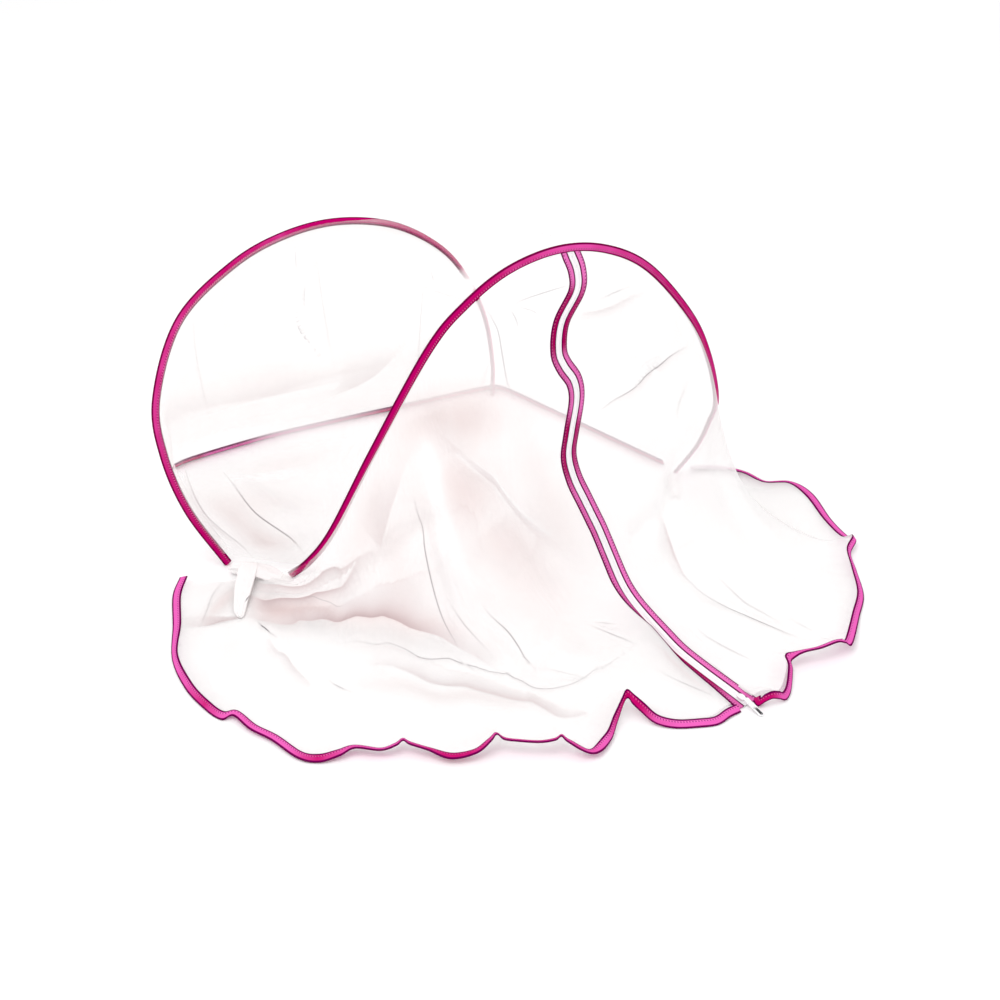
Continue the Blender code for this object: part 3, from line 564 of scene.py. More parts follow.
hemLook = {
    "width": 11.0, "thick": 2.2, "flatCut": 0.6, "netGap": 0.3, "zipGap": 0.4, "backRoll": 62.0,
    "footRoll": 30.0, "steps": 900, "passes": 160,
    "back": (
        (-441, 70), (-414, 91), (-326, 140), (-240, 178), (-150, 215), (-68, 249), (-34, 262), (-12, 266),
        (10, 252), (58, 210), (106, 168), (157, 123), (206, 80),
    ),
    # x, y, lift off the floor, roll of the binding in degrees
    "left": (
        (-400, -174, 3, 20), (-405, -207, 0, 12), (-398, -266, 0, 20), (-392, -330, 0, 50),
        (-371, -381, 0, 35), (-347, -415, 0, 30), (-327, -434, 0, 30), (-312, -433, 5, -5),
        (-290, -456, 4, -3), (-264, -474, 3, 0), (-234, -502, 2, 5), (-212, -508, 1, 20),
        (-190, -503, 6, 0), (-172, -496, 11, -24), (-143, -500, 11, -29), (-126, -495, 14, -30),
        (-118, -490, 17, -30), (-110, -493, 14, -30), (-88, -500, 11, -28), (-63, -509, 7, -4),
        (-36, -504, 11, -18), (-20, -494, 20, -30), (-13, -489, 25, -32), (-4, -493, 21, -32),
        (12, -495, 20, -32), (36, -497, 20, -32), (53, -494, 21, -32), (60, -490, 23, -32),
        (68, -495, 19, -30), (94, -502, 8, -12), (112, -478, 4, 50), (121, -452, 8, 68),
        (131, -425, 14, 84), (137, -417, 17, 60), (144, -423, 15, 30), (154, -432, 10, 45),
        (170, -445, 3, 50), (192, -449, 0, 35), (219, -447, 0, 30), (238, -443, 0, 30),
        (252, -431, 1, 30),
    ),
    "right": (
        (290, -414, 2, 60), (296, -413, 7, 80), (304, -411, 10, 86), (312, -408, 7, 80),
        (319, -402, 1, 60), (325, -388, 2, 60), (330, -356, 5, 60), (329, -342, 9, 40),
        (338, -337, 15, -10), (350, -334, 19, -28), (368, -330, 21, -30), (388, -320, 22, -28),
        (398, -315, 17, -10), (405, -309, 10, 20), (421, -249, 2, 35), (432, -205, 0, 40),
        (430, -156, 0, 50), (427, -124, 4, 60), (436, -103, 9, 60), (427, -91, 5, 20), (411, -47, 0, 15),
        (394, 10, 0, 5), (371, 36, 0, 22), (338, 37, 0, 28), (313, 59, 0, 25), (286, 71, 0, 15),
        (264, 72, 1, 15), (244, 68, 2, 20),
    ),
    # Share along, depth of the painted shade
    "leftTone": (
        (0, 0.05), (0.18, 0.1), (0.25, 0.75), (0.28, 0.2), (0.38, 0.1), (0.42, 0.85), (0.45, 0.3),
        (0.52, 0.35), (0.57, 0.85), (0.6, 0.9), (0.63, 0.5), (0.74, 0.5), (0.78, 0.15), (0.82, 0.7),
        (0.845, 1), (0.87, 0.95), (0.9, 0.3), (0.93, 0), (1, 0.05),
    ),
    "rightTone": (
        (0, 0.8), (0.02, 1), (0.035, 0.9), (0.06, 0.2), (0.2, 0.3), (0.27, 0.05), (0.55, 0), (0.7, 0.15),
        (0.85, 0.3), (1, 0.3),
    ),
    "backTone": ((0, 1), (0.05, 1), (0.065, 0.3), (0.12, 0.3), (0.25, 0.5), (0.35, 0.9), (1, 1)),
    # Share along, how far the net lies over it
    "leftPale": ((0, 0), (1, 0)),
    "rightPale": ((0, 0), (0.925, 0), (0.935, 0.8), (1, 0.9)),
    "backPale": ((0, 0), (0.16, 0), (0.21, 0.3), (0.34, 0.35), (0.4, 0), (1, 0)),
}


def hemFrame(line, innerSide, passes):
    way = unit(np.gradient(line[:, :2], axis=0))
    for _ in range(passes):
        way[1:-1] = unit(way[:-2] + way[1:-1] + way[2:])
    inward = np.stack([-way[:, 1], way[:, 0], np.zeros(len(way))], axis=1) * innerSide
    roll = np.radians(line[:, 3:4])
    rise = np.array([0.0, 0.0, 1.0])
    across = np.cos(roll) * inward + np.sin(roll) * rise
    upper = -np.sin(roll) * inward + np.cos(roll) * rise
    edge = line[:, :3] - inward * np.cos(roll) * hemLook["width"] / 2 + upper * hemLook["thick"] / 2
    edge[:, 2] -= hemLook["flatCut"]
    return edge, across, upper


netLook = {
    "seam": 0.4, "floorClear": 0.7, "climbRun": 42.0, "departure": 45.0, "approach": 40.0,
    "upperRows": 71, "lowerRows": 45, "upperShare": 0.56,
    "leftColumns": 271, "rightColumns": 199, "leftPasses": 16, "rightPasses": 14, "leadPasses": 130,
    "topColumns": 187, "topRows": 78, "topRange": (0.015, 0.965), "topSag": 22.0,
    "wallColumns": 187, "wallLeft": 55, "wallRows": 44, "wallRange": (0.03, 0.955), "wallSag": 14.0,
    "wallStart": (-352.0, -112.0), "wallEnd": (-6.0, -8.0, 18.0), "cornerCut": 0.03,
    "backSteps": 480, "backPasses": 300,
    # Share of the hem, share of the front hoop that carries the net there
    "leftSpread": ((0, 0.015), (0.2, 0.035), (0.4, 0.10), (0.6, 0.22), (0.8, 0.37), (1, 0.4902)),
    "rightSpread": ((0, 0.5158), (0.15, 0.60), (0.35, 0.74), (0.6, 0.88), (0.85, 0.955), (1, 0.975)),
    # Share of the hem, how far the net sweeps out as it falls
    "leftSweep": ((0, 25), (0.4, 45), (1, 40)),
    "rightSweep": ((0, 40), (0.5, 45), (0.85, 25), (1, 14)),
    # Share of the hem, how much further out it leaves the hoop
    "leftSeam": ((0, 0), (1, 0)),
    "rightSeam": ((0, 0), (0.8, 0), (1, 2)),
    # Edges that pucker and how far in, and the seed of the small unevenness
    "puckers": {"left": (("top", 22.0), ("hem", 16.0)), "right": (("top", 22.0), ("hem", 16.0)),
                "top": (("top", 18.0), ("hem", 18.0)), "wall": (("top", 18.0),)},
    "seeds": {"left": 3, "right": 5, "top": 7, "wall": 9},
    "wrinkle": 0.35, "pucker": 0.4, "puckerWaves": (13.0, 8.3), "edgeRows": 5, "edgeColumns": 7,
    "creaseLift": 2.0, "creaseReach": 5.0, "creaseFade": 8.0, "shadeLift": 3.5, "lineSteps": 60,
}


def besideHoop(line, band, gap=0.0):
    # The start moves sideways out of the binding, and the shift dies out along the line
    s = distances(line)
    lead = pointsAt(line, [min(netLook["departure"] / s[-1], 1)])[0] - line[0]
    way = np.cross(*band)
    out = unit(lead - (lead @ way) * way)
    shift = bandReach(out, *band) + netLook["seam"] + gap
    return line + np.outer(shift * np.exp(-s / netLook["departure"]), out)


def fall(top, band, bottom, inward, sweepOut, gap, shares):
    # Hangs from the hoop, runs out on the floor and climbs to its hem
    span = np.linalg.norm(bottom[:2] - top[:2])
    lead = inward[:2] * min(netLook["approach"], 0.35 * span)
    t = np.linspace(0, 1, 260)[:, None] ** 1.8
    first = top[:2] + (bottom[:2] + lead - top[:2]) / 3
    flat = (top[:2] * (1 - t) ** 3 + first * 3 * t * (1 - t) ** 2
            + (bottom[:2] + lead) * 3 * t ** 2 * (1 - t) + bottom[:2] * t ** 3)
    s = distances(flat)
    length = s[-1]
    clear = netLook["floorClear"]
    climbRun = netLook["climbRun"]
    drop = (top[2] - clear) * (np.exp(-s / sweepOut) - np.exp(-length / sweepOut) * s / length)
    climb = (bottom[2] - clear) * np.clip((s - length + climbRun) / climbRun, 0, 1) ** 2
    line = np.column_stack([flat, clear + drop + climb])
    return pointsAt(besideHoop(line, band, gap), shares)


def rowShares():
    upper = np.linspace(0, netLook["upperShare"], netLook["upperRows"])
    lower = np.linspace(netLook["upperShare"], 1, netLook["lowerRows"] + 1)
    return np.concatenate([upper, lower[1:]])


zipLook = {
    "tapeHalf": 4.6, "tapeThick": 1.6, "bindingWidth": 9.2, "bindingThick": 2.0, "gap": 0.35,
    "coilHalf": 1.7, "coilRise": 1.2, "toothPitch": 1.5, "steps": 1500, "bindingSteps": 620,
    "coilAt": (0.5, 0.9, 1.25, 1.6, 1.9, 2.5, 3.6),  # where the half section has its points
    "share": 0.503, "foot": (274.0, -414.0), "floor": 1.3, "sweep": 40.0, "topGap": -1.1, "turn": 160.0,
    "pull": 0.22,
    # mm down from the hoop, mm to the right, mm outwards
    "waves": (
        (0, 7, 0), (25, 14, 2), (50, 11, 4), (85, -11, 2), (120, -16.5, 0), (140, -12, 2), (162, -1, 4),
        (187, 0.5, 4), (225, -11, 3), (255, -17, 0), (285, -15, 2), (316, -6, 3), (340, 1, 3),
        (367, 7.5, 3), (404, 12, 2), (445, 12, 1), (485, 13, 0), (515, 11, 0), (551, 6.5, 0), (595, 5, 0),
        (676, 3, 0), (780, 0, 0),
    ),
    # Share along the zip, depth of the painted shade
    "LeftTone": (
        (0, 0.05), (0.05, 0.2), (0.09, 0.9), (0.17, 1), (0.2, 0.4), (0.3, 0.15), (0.34, 0.9), (0.4, 0.85),
        (0.47, 0.3), (0.6, 0.3), (0.7, 0.45), (0.76, 1), (0.82, 1.2), (0.9, 1), (0.96, 0.5), (1, 0.2),
    ),
    "RightTone": (
        (0, 0), (0.05, 0.1), (0.09, 0.85), (0.17, 0.95), (0.2, 0.3), (0.3, 0.1), (0.34, 0.8), (0.4, 0.7),
        (0.47, 0.15), (0.6, 0), (0.75, 0.05), (1, 0),
    ),
    # Share along the zip, how far a binding curls up from the tape in degrees
    "LeftCurl": ((0, 0), (0.64, 0), (0.72, 40), (0.76, 62), (0.81, 58), (0.86, 34), (0.94, 20), (1, 0)),
    "RightCurl": ((0, 0), (1, 0)),
    "breadth": ((0, 0.82), (0.5, 0.86), (0.7, 0.96), (0.9, 1.05), (1, 1.1)),
}


def zipLine(hoop):
    top, broad, narrow = (row[0] for row in lineShare(hoop, [zipLook["share"]]))
    ahead = unit(np.array([*(np.array(zipLook["foot"]) - top[:2]), 0.0]))
    foot = np.array([*zipLook["foot"], zipLook["floor"]])
    meet = foot - ahead * (hemLook["width"] + hemLook["netGap"])
    base = fall(top, (broad, narrow), meet, -ahead, zipLook["sweep"], zipLook["topGap"], rowShares())
    base = np.vstack([base, foot])
    base[:, 2] = np.maximum(base[:, 2], zipLook["floor"])
    down = distances(base)
    turn = np.clip(down / zipLook["turn"], 0, 1)[:, None]
    along = np.cross(broad, narrow)
    right = unit(along * (1 - turn) + np.array([-ahead[1], ahead[0], 0.0]) * turn)
    out = unit(np.cross(unit(np.gradient(base, axis=0)), right))
    curve = spline(zipLook["waves"], 400)
    centre = (base + right * np.interp(down, curve[:, 0], curve[:, 1])[:, None]
              + out * np.interp(down, curve[:, 0], curve[:, 2])[:, None])
    way = unit(np.gradient(centre, axis=0))
    way[0] = unit(base[2] - base[0])
    side = unit(right - np.sum(way * right, axis=1, keepdims=True) * way)
    return centre, side, np.cross(way, side)


def zipSection(shares, length):
    # The section at each step: its upper face rises to the coil, whose two rows meet in the middle
    half, lower = zipLook["tapeHalf"], -zipLook["tapeThick"] / 2
    right = np.array([*zipLook["coilAt"], half])
    across = np.concatenate([-right[::-1], [0.0], right])
    turn = 2 * np.pi * shares[:, None] * length / zipLook["toothPitch"]
    onCoil = np.clip(1 - (np.abs(across) / zipLook["coilHalf"]) ** 4, 0, 1)
    loops = 0.62 + 0.38 * np.where(across < 0, np.cos(turn), -np.cos(turn))
    rise = zipLook["coilRise"] * onCoil * np.where(np.abs(across) < 0.2, 0.7, loops)
    upperFace = np.stack([np.broadcast_to(across, rise.shape), zipLook["tapeThick"] / 2 + rise], axis=2)
    lowerFace = np.broadcast_to([(half, lower), (0.0, lower), (-half, lower)], (len(shares), 3, 2))
    section = np.concatenate([upperFace, lowerFace], axis=1)
    section[:, :, 0] *= mapped(zipLook["breadth"], shares)[:, None]
    return section


zipRows = zipLine(hoops["front"])
zipShare = np.linspace(0, 1, zipLook["steps"])
zipFine = lineShare(zipRows, zipShare)
zipLength = np.linalg.norm(np.diff(zipFine[0], axis=0), axis=1).sum()
zipTape = sweptPiece("zipTapeAndCoil", *zipFine, zipSection(zipShare, zipLength), {"tone": zipShare})
finished(zipTape, "zipTape", "zip_tape")

innerEdge = zipLook["tapeHalf"] + zipLook["gap"]
outerEdge = innerEdge + zipLook["bindingWidth"]


def curled(section, key, sign, shares):
    # The binding's section at each step, turned up about its edge beside the tape
    hinge = sign * innerEdge
    angle = np.radians(mapped(zipLook[key + "Curl"], shares))[:, None]
    reach = (np.asarray(section)[None, :, 0] - hinge) * sign
    rise = np.asarray(section)[None, :, 1]
    breadth = mapped(zipLook["breadth"], shares)[:, None]
    across = hinge + sign * (reach * np.cos(angle) - rise * np.sin(angle))
    return np.stack([across * breadth, reach * np.sin(angle) + rise * np.cos(angle)], axis=2)


def netBeside(key, sign):
    # Where the net meets the binding's outer edge, row by row
    centre, side, out = (row[:-1] for row in zipRows)
    steps = np.linalg.norm(np.diff(zipRows[0], axis=0), axis=1)
    shares = (np.concatenate([[0], np.cumsum(steps)]) / steps.sum())[:-1]
    edge = curled([(sign * (outerEdge + 0.1), 0.0)], key, sign, shares)[:, 0]
    return centre + side * edge[:, :1] + out * edge[:, 1:]


zipBands = {}
bandShares = np.linspace(0, 1, zipLook["bindingSteps"])
bandLine = lineShare(zipRows, bandShares)
for key, sign in (("Left", -1), ("Right", 1)):
    section = tapeSection(*sorted((sign * innerEdge, sign * outerEdge)), zipLook["bindingThick"])
    marks = {"tone": mapped(zipLook[key + "Tone"], bandShares), "pale": np.zeros(len(bandShares))}
    curls = curled(section, key, sign, bandShares)
    zipBands[key] = sweptPiece("zipBinding" + key + "Tape", *bandLine, curls, marks, across=section[:, 0])
    finished(zipBands[key], "zipBand" + key, "zip_binding_" + key.lower())
print("zip made")


def eased(piece, segments):
    # Fine round edges on a metal piece, which keeps its flats
    ease = piece.modifiers.new("ease", "BEVEL")
    ease.width = 0.00035
    ease.segments = segments
    ease.limit_method = "ANGLE"
    ease.angle_limit = math.radians(50)
    bpy.ops.object.modifier_apply(modifier="ease")
    facedOutwards()
    bpy.ops.object.shade_smooth_by_angle(angle=math.radians(35))
    return piece


sliderLook = {"back": 17.0, "width": 7.6, "length": 12.0, "high": 3.4, "cuts": 5}


def sliderPiece(foot, ahead, right):
    base = zipLook["floor"] + zipLook["tapeThick"] / 2 + zipLook["coilRise"] + zipLook["gap"]
    middle = foot * (1, 1, 0) + ahead * (sliderLook["length"] / 2 - sliderLook["back"])
    clearSelection()
    bpy.ops.mesh.primitive_cube_add(size=1)
    piece = bpy.context.object
    piece.name = "zipSliderBody"
    editAll()
    bpy.ops.mesh.subdivide(number_cuts=sliderLook["cuts"])
    editDone()
    x, y, z = np.array([v.co for v in piece.data.vertices]).T
    # Waisted towards both ends, with a sloping nose and a raised bridge
    wide = 1 - 0.42 * np.abs(2 * y) ** 2.2
    rise = 1 - 0.38 * np.abs(2 * y) ** 2.0
    bridge = np.where((np.abs(x) < 0.18) & (np.abs(y) < 0.36) & (z > 0.4), 1.0, 0.72)
    high = np.where(z > -0.45, (z + 0.5) * sliderLook["high"] * rise * bridge, 0.0)
    local = np.column_stack([x * wide * sliderLook["width"], y * sliderLook["length"], high])
    world = middle + local[:, :1] * right + local[:, 1:2] * ahead + local[:, 2:] * np.array([0, 0, 1.0])
    world[:, 2] += base
    movePoints(piece.data, world)
    return eased(piece, 2)


pullLook = {
    "start": 5.0, "length": 31.0, "half": 3.4, "thick": 1.6, "hole": 1.1, "holeShift": 0.8,
    "high": 7.0, "low": 1.0, "points": 40,
}


def pullPiece(foot, ahead, right):
    # A ring of points round the tab and round its hole, bridged, then given its thickness
    half = pullLook["length"] / 2 - pullLook["half"]
    clearSelection()
    ring = {"vertices": pullLook["points"], "fill_type": "NOTHING"}
    bpy.ops.mesh.primitive_circle_add(radius=pullLook["half"], **ring)
    piece = bpy.context.object
    piece.name = "zipPullTab"
    bpy.ops.object.mode_set(mode="EDIT")
    bpy.ops.mesh.select_all(action="DESELECT")
    bpy.ops.mesh.primitive_circle_add(radius=pullLook["hole"], **ring)
    bpy.ops.mesh.select_all(action="SELECT")
    bpy.ops.mesh.bridge_edge_loops()
    editDone()
    spots = np.array([v.co for v in piece.data.vertices])
    outer = np.hypot(spots[:, 0], spots[:, 1]) > (pullLook["half"] + pullLook["hole"]) / 2
    # The eye mark, on the ring round the hole, is where the tab is painted near black as shade
    eye = piece.data.attributes.new("eye", "FLOAT", "POINT")
    eye.data.foreach_set("value", np.where(outer, 0.0, 1.0).astype(np.float32))
    ends = np.where(spots[:, 1] >= -1e-6, half, -half)
    spots[:, 1] += np.where(outer, ends, half + pullLook["holeShift"])
    near = foot - ahead * pullLook["start"]
    far = near + ahead * pullLook["length"]
    near[2] = pullLook["high"]
    far[2] = pullLook["low"]
    world = (near + far) / 2 + spots[:, :1] * right + spots[:, 1:2] * unit(far - near)
    movePoints(piece.data, world)
    thickened(piece, pullLook["thick"])
    return eased(piece, 3)


zipFoot, zipRight = zipRows[0][-1], zipRows[1][-1]
zipAhead = unit(np.cross(zipRight, (0.0, 0.0, 1.0)))
finished(sliderPiece(zipFoot, zipAhead, zipRight), "lacquer", "zip_slider")
finished(pullPiece(zipFoot, zipAhead, zipRight), "lacquer", "zip_pull")
print("slider and pull made")


# The skirt's two hems start beside the zip's foot, so they come after it
toHem = zipRight * (outerEdge + zipLook["gap"] + hemLook["zipGap"])
footEnds = [((*spot[:2], 0.0, hemLook["footRoll"]),) for spot in (zipFoot - toHem, zipFoot + toHem)]
hemStations = {
    "left": hemLook["left"] + footEnds[0],
    "right": footEnds[1] + hemLook["right"],
    "back": tuple((*spot, 0.0, hemLook["backRoll"]) for spot in hemLook["back"]),
}
hemBands = {}
share = np.linspace(0, 1, hemLook["steps"])
section = tapeSection(0.0, hemLook["width"], hemLook["thick"])
hemNodes = {"left": ("hem_front_left", 1), "right": ("hem_front_right", 1), "back": ("hem_back", -1)}
for key, (node, innerSide) in hemNodes.items():
    lines = hemFrame(spline(hemStations[key], hemLook["steps"]), innerSide, hemLook["passes"])
    marks = {"tone": mapped(hemLook[key + "Tone"], share), "pale": mapped(hemLook[key + "Pale"], share)}
    hemBands[key] = sweptPiece("hem" + key.title() + "Tape", *lines, section, marks)
    finished(hemBands[key], "hemBand", node)
print("hems made")


# The nets' own tables give places as shares: first across the columns, then down the rows.
# Main folds: both ends, half width in mm, height in mm, which sinks in below zero
foldTable = {
    "left": (
        (0.06, 0.30, 0.37, 0.42, 16, -9), (0.37, 0.43, 0.68, 0.68, 18, -8),
        (0.18, 0.16, 0.53, 0.33, 14, 8), (0.53, 0.33, 0.73, 0.38, 16, 8),
        (0.66, 0.30, 0.68, 0.62, 14, 10), (0.72, 0.12, 0.84, 0.52, 22, 12),
        (0.84, 0.52, 0.90, 0.70, 20, 9), (0.89, 0.20, 0.90, 0.62, 26, -14),
        (0.84, 0.42, 0.98, 0.68, 14, 8), (0.44, 0.50, 0.64, 0.72, 15, 8), (0.64, 0.72, 0.96, 0.81, 15, 8),
        (0.50, 0.67, 0.68, 0.83, 14, 7), (0.68, 0.83, 0.84, 0.93, 14, 6), (0.24, 0.55, 0.36, 0.74, 14, 7),
        (0.03, 0.45, 0.10, 0.90, 13, 7), (0.12, 0.45, 0.24, 0.92, 16, 6),
        (0.60, 0.06, 0.56, 0.30, 18, -7), (0.78, 0.62, 0.80, 0.80, 12, 6),
    ),
    "right": (
        (0.04, 0.13, 0.18, 0.07, 14, 7), (0.05, 0.30, 0.32, 0.11, 16, 8), (0.29, 0.23, 0.25, 0.32, 12, 5),
        (0.22, 0.45, 0.15, 0.66, 14, 9), (0.15, 0.66, 0.19, 0.81, 14, 9), (0.19, 0.81, 0.27, 0.93, 14, 7),
        (0.04, 0.62, 0.16, 0.59, 12, 6), (0.18, 0.75, 0.25, 0.86, 12, 6), (0.08, 0.80, 0.12, 0.92, 12, 6),
        (0.40, 0.30, 0.42, 0.85, 22, 6), (0.60, 0.35, 0.62, 0.85, 22, 3),
    ),
    "top": (
        (0.44, 0.20, 0.36, 0.45, 16, 8), (0.36, 0.45, 0.30, 0.68, 16, 7),
        (0.19, 0.08, 0.25, 0.50, 22, -9), (0.25, 0.50, 0.33, 0.94, 22, -9),
        (0.15, 0.28, 0.04, 0.85, 16, 8), (0.42, 0.74, 0.38, 0.97, 14, 7),
        (0.70, 0.30, 0.62, 0.75, 24, -8),
    ),
    "wall": (
        (0.44, 0.10, 0.52, 0.85, 20, 7), (0.66, 0.15, 0.78, 0.85, 20, -7),
        (0.20, 0.30, 0.30, 0.85, 16, 6),
    ),
}

# Sharp creases pressed into the net while it was folded away, raised a little and painted as dark lines of
# shade: strength, then the places they run through
creaseTable = {
    "left": (
        (0.55, (0.66, 0.30), (0.66, 0.66)), (0.35, (0.69, 0.57), (0.71, 0.70)),
        (0.5, (0.44, 0.54), (0.57, 0.64), (0.74, 0.79), (0.84, 0.88), (0.90, 0.84)),
        (0.35, (0.86, 0.87), (0.93, 0.82), (0.95, 0.81)), (0.3, (0.81, 0.80), (0.84, 0.88)),
        (0.55, (0.78, 0.64), (0.80, 0.70), (0.80, 0.78)), (0.45, (0.93, 0.75), (0.96, 0.80)),
        (0.35, (0.94, 0.74), (0.96, 0.75)), (0.4, (0.96, 0.88), (0.99, 0.97)),
        (0.5, (0.42, 0.70), (0.45, 0.75)), (0.9, (0.19, 0.53), (0.23, 0.54)),
        (0.35, (0.92, 0.06), (1, 0.07)), (0.25, (0.92, 0.07), (0.97, 0.12)),
        (0.35, (0.91, 0.07), (0.93, 0.12)), (0.4, (0.87, 0.04), (0.90, 0.14), (0.91, 0.23)),
        (0.3, (0, 0.72), (0.10, 0.89)), (0.25, (0.27, 0.28), (0.43, 0.36)),
    ),
    "right": (
        (0.35, (0.05, 0.09), (0.10, 0.07)), (0.5, (0.05, 0.32), (0.15, 0.27), (0.29, 0.12)),
        (0.2, (0.13, 0.27), (0.20, 0.20)), (0.4, (0.29, 0.22), (0.25, 0.31)),
        (0.7, (0.16, 0.73), (0.18, 0.80), (0.22, 0.91)), (0.35, (0.21, 0.73), (0.23, 0.86)),
        (0.35, (0.09, 0.81), (0.12, 0.92)), (0.15, (0.17, 0.67), (0.21, 0.64)),
        (0.25, (0.26, 0.88), (0.27, 0.92)),
    ),
    "top": (
        (0.35, (0.44, 0.21), (0.41, 0.29)), (0.45, (0.38, 0.41), (0.35, 0.48)),
        (0.55, (0.34, 0.47), (0.32, 0.53), (0.30, 0.64)), (0.5, (0.14, 0.08), (0.07, 0.11), (0.01, 0.35)),
        (0.7, (0.13, 0.32), (0.08, 0.48), (0.03, 0.83)), (0.3, (0.05, 0.09), (0.03, 0.11)),
        (0.4, (0.42, 0.80), (0.41, 0.83)), (0.25, (0.40, 0.82), (0.39, 0.98)),
        (0.2, (0.46, 0.67), (0.44, 0.80)), (0.3, (0.60, 0.30), (0.66, 0.75)),
    ),
    "wall": (
        (0.3, (0.35, 0.10), (0.38, 0.80)), (0.25, (0.58, 0.15), (0.65, 0.80)),
        (0.3, (0.79, 0.20), (0.83, 0.82)),
    ),
}

# Shade painted beside folds, on the side left of their way: depth, reach in mm, then the places they run
# through
shadeTable = {
    "left": (
        (1, 26, (0.22, 0.48), (0.40, 0.43), (0.56, 0.55), (0.67, 0.69)),
        (0.6, 13, (0.51, 0.67), (0.66, 0.81), (0.80, 0.93)),
        (0.8, 12, (0.48, 0.25), (0.32, 0.16), (0.17, 0.21), (0.01, 0.43)),
        (1, 14, (0.46, 0.25), (0.29, 0.27), (0.16, 0.38), (0.07, 0.50)),
        (0.8, 22, (0.10, 0.88), (0.12, 0.63)), (0.45, 6, (0.36, 0.73), (0.25, 0.59)),
        (0.45, 7, (0.99, 0.96), (0.99, 0.84)), (0.45, 26, (0.92, 0.54), (0.80, 0.31)),
        (0.45, 24, (0.79, 0.30), (0.91, 0.55)), (0.35, 22, (0.53, 0.30), (0.64, 0.18)),
    ),
    "right": (
        (0.7, 6, (0.16, 0.73), (0.16, 0.61)), (0.4, 10, (0.15, 0.07), (0.08, 0.11), (0.01, 0.12)),
        (0.4, 7, (0.29, 0.12), (0.15, 0.27), (0.05, 0.32)),
    ),
    "top": (
        (0.6, 24, (0.25, 0.74), (0.28, 0.86), (0.32, 0.92)),
        (0.4, 16, (0.03, 0.23), (0.07, 0.11), (0.14, 0.08)),
        (0.5, 22, (0.22, 0.30), (0.25, 0.55), (0.27, 0.72)),
    ),
    "wall": ((0.3, 20, (0.30, 0.70), (0.50, 0.80), (0.80, 0.75)),),
}

# Pinkish shade painted into the nets' colour: both ends, half width in mm, depth
paintedPinkShadeTable = {
    "left": (
        (0.62, 0.05, 0.90, 0.28, 40, 0.5), (0.74, 0.24, 0.83, 0.50, 56, 0.65),
        (0.80, 0.48, 0.92, 0.74, 48, 0.45), (0.95, 0.36, 0.97, 0.62, 30, 0.35),
        (0.62, 0.10, 0.38, 0.24, 30, 0.35), (0.56, 0.22, 0.60, 0.55, 34, 0.35),
        (0.10, 0.45, 0.34, 0.36, 18, 1), (0.34, 0.36, 0.68, 0.64, 16, 0.6),
        (0.03, 0.62, 0.09, 0.85, 11, 0.6), (0.48, 0.73, 0.75, 0.88, 12, 0.35),
        (0.71, 0.19, 0.74, 0.58, 10, -0.7), (0.79, 0.30, 0.93, 0.56, 5, -0.6),
        (0.78, 0.20, 0.88, 0.34, 36, 0.35),
    ),
    "right": ((0.10, 0.10, 0.30, 0.10, 20, 0.05),),
    "top": (
        (0.10, 0.16, 0.10, 0.90, 32, 0.42), (0.10, 0.12, 0.02, 0.60, 26, 0.5),
        (0.14, 0.40, 0.18, 0.85, 20, 0.4), (0.24, 0.12, 0.30, 0.90, 24, 0.3),
        (0.03, 0.35, 0.04, 0.90, 18, 0.35), (0.13, 0.34, 0.15, 0.70, 5, -0.4),
    ),
    "wall": ((0.10, 0.40, 0.45, 0.80, 40, 0.3),),
}

# Where the net lies double or bunched and lets less through: both ends, half width in mm, added cover
veilTable = {
    "left": (
        (0.02, 0.10, 0.36, 0.36, 20, 0.15), (0, 0.02, 0.14, 0.06, 24, -0.9),
        (0.70, 0.40, 0.86, 0.70, 16, 0.12),
    ),
    "right": ((0.55, 0.05, 0.80, 0.12, 16, 0.15), (0.88, 0.05, 0.97, 0.75, 46, -0.55)),
    "top": (
        (0.19, 0.50, 0.22, 0.95, 16, 0.35), (0.42, 0.92, 0.385, 1, 13, 1.1),
        (0.44, 0.20, 0.30, 0.66, 8, 0.10), (0.21, 0.95, 0.15, 0.93, 9, 0.25),
        (0.51, 0.40, 0.442, 0.85, 22, -0.15), (0.155, 0.08, 0.19, 0.45, 10, -0.14),
    ),
    "wall": ((0.30, 0.96, 0.52, 0.99, 16, -0.4), (0.62, 0.92, 0.95, 0.97, 12, 0.15)),
}


def gridPoints(grid, u, v):
    i = np.clip(np.asarray(u), 0, 1) * (grid.shape[0] - 1)
    j = np.clip(np.asarray(v), 0, 1) * (grid.shape[1] - 1)
    i0 = np.minimum(i.astype(int), grid.shape[0] - 2)
    j0 = np.minimum(j.astype(int), grid.shape[1] - 2)
    a = (i - i0)[:, None]
    b = (j - j0)[:, None]
    near = grid[i0, j0] * (1 - b) + grid[i0, j0 + 1] * b
    far = grid[i0 + 1, j0] * (1 - b) + grid[i0 + 1, j0 + 1] * b
    return near * (1 - a) + far * a


def nearestSpot(grid, spots):
    # How far each point of the cloth is from a line of spots, and which spot is nearest
    away = np.full(grid.shape[:2], 1e9)
    nearest = np.zeros(grid.shape[:2], int)
    for k, spot in enumerate(spots):
        d = np.linalg.norm(grid - spot, axis=2)
        closer = d < away
        away[closer] = d[closer]
        nearest[closer] = k
    return away, nearest


def fieldAlong(grid, rows, power=2.0):
    # Sum of soft ridges along straight runs of the cloth
    total = np.zeros(grid.shape[:2])
    share = np.linspace(0, 1, 24)
    for u0, v0, u1, v1, halfWidth, height in rows:
        away, nearest = nearestSpot(grid, gridPoints(grid, u0 + (u1 - u0) * share, v0 + (v1 - v0) * share))
        taper = np.sin(np.pi * np.clip(0.12 + 0.76 * share[nearest], 0, 1))
        total += height * taper * np.exp(-(away / halfWidth) ** power)
    return total


def edgeRamp(count, reach):
    place = np.arange(count)
    near = np.minimum(place, count - 1 - place) / reach
    return np.sin(np.clip(near, 0, 1) * np.pi / 2)


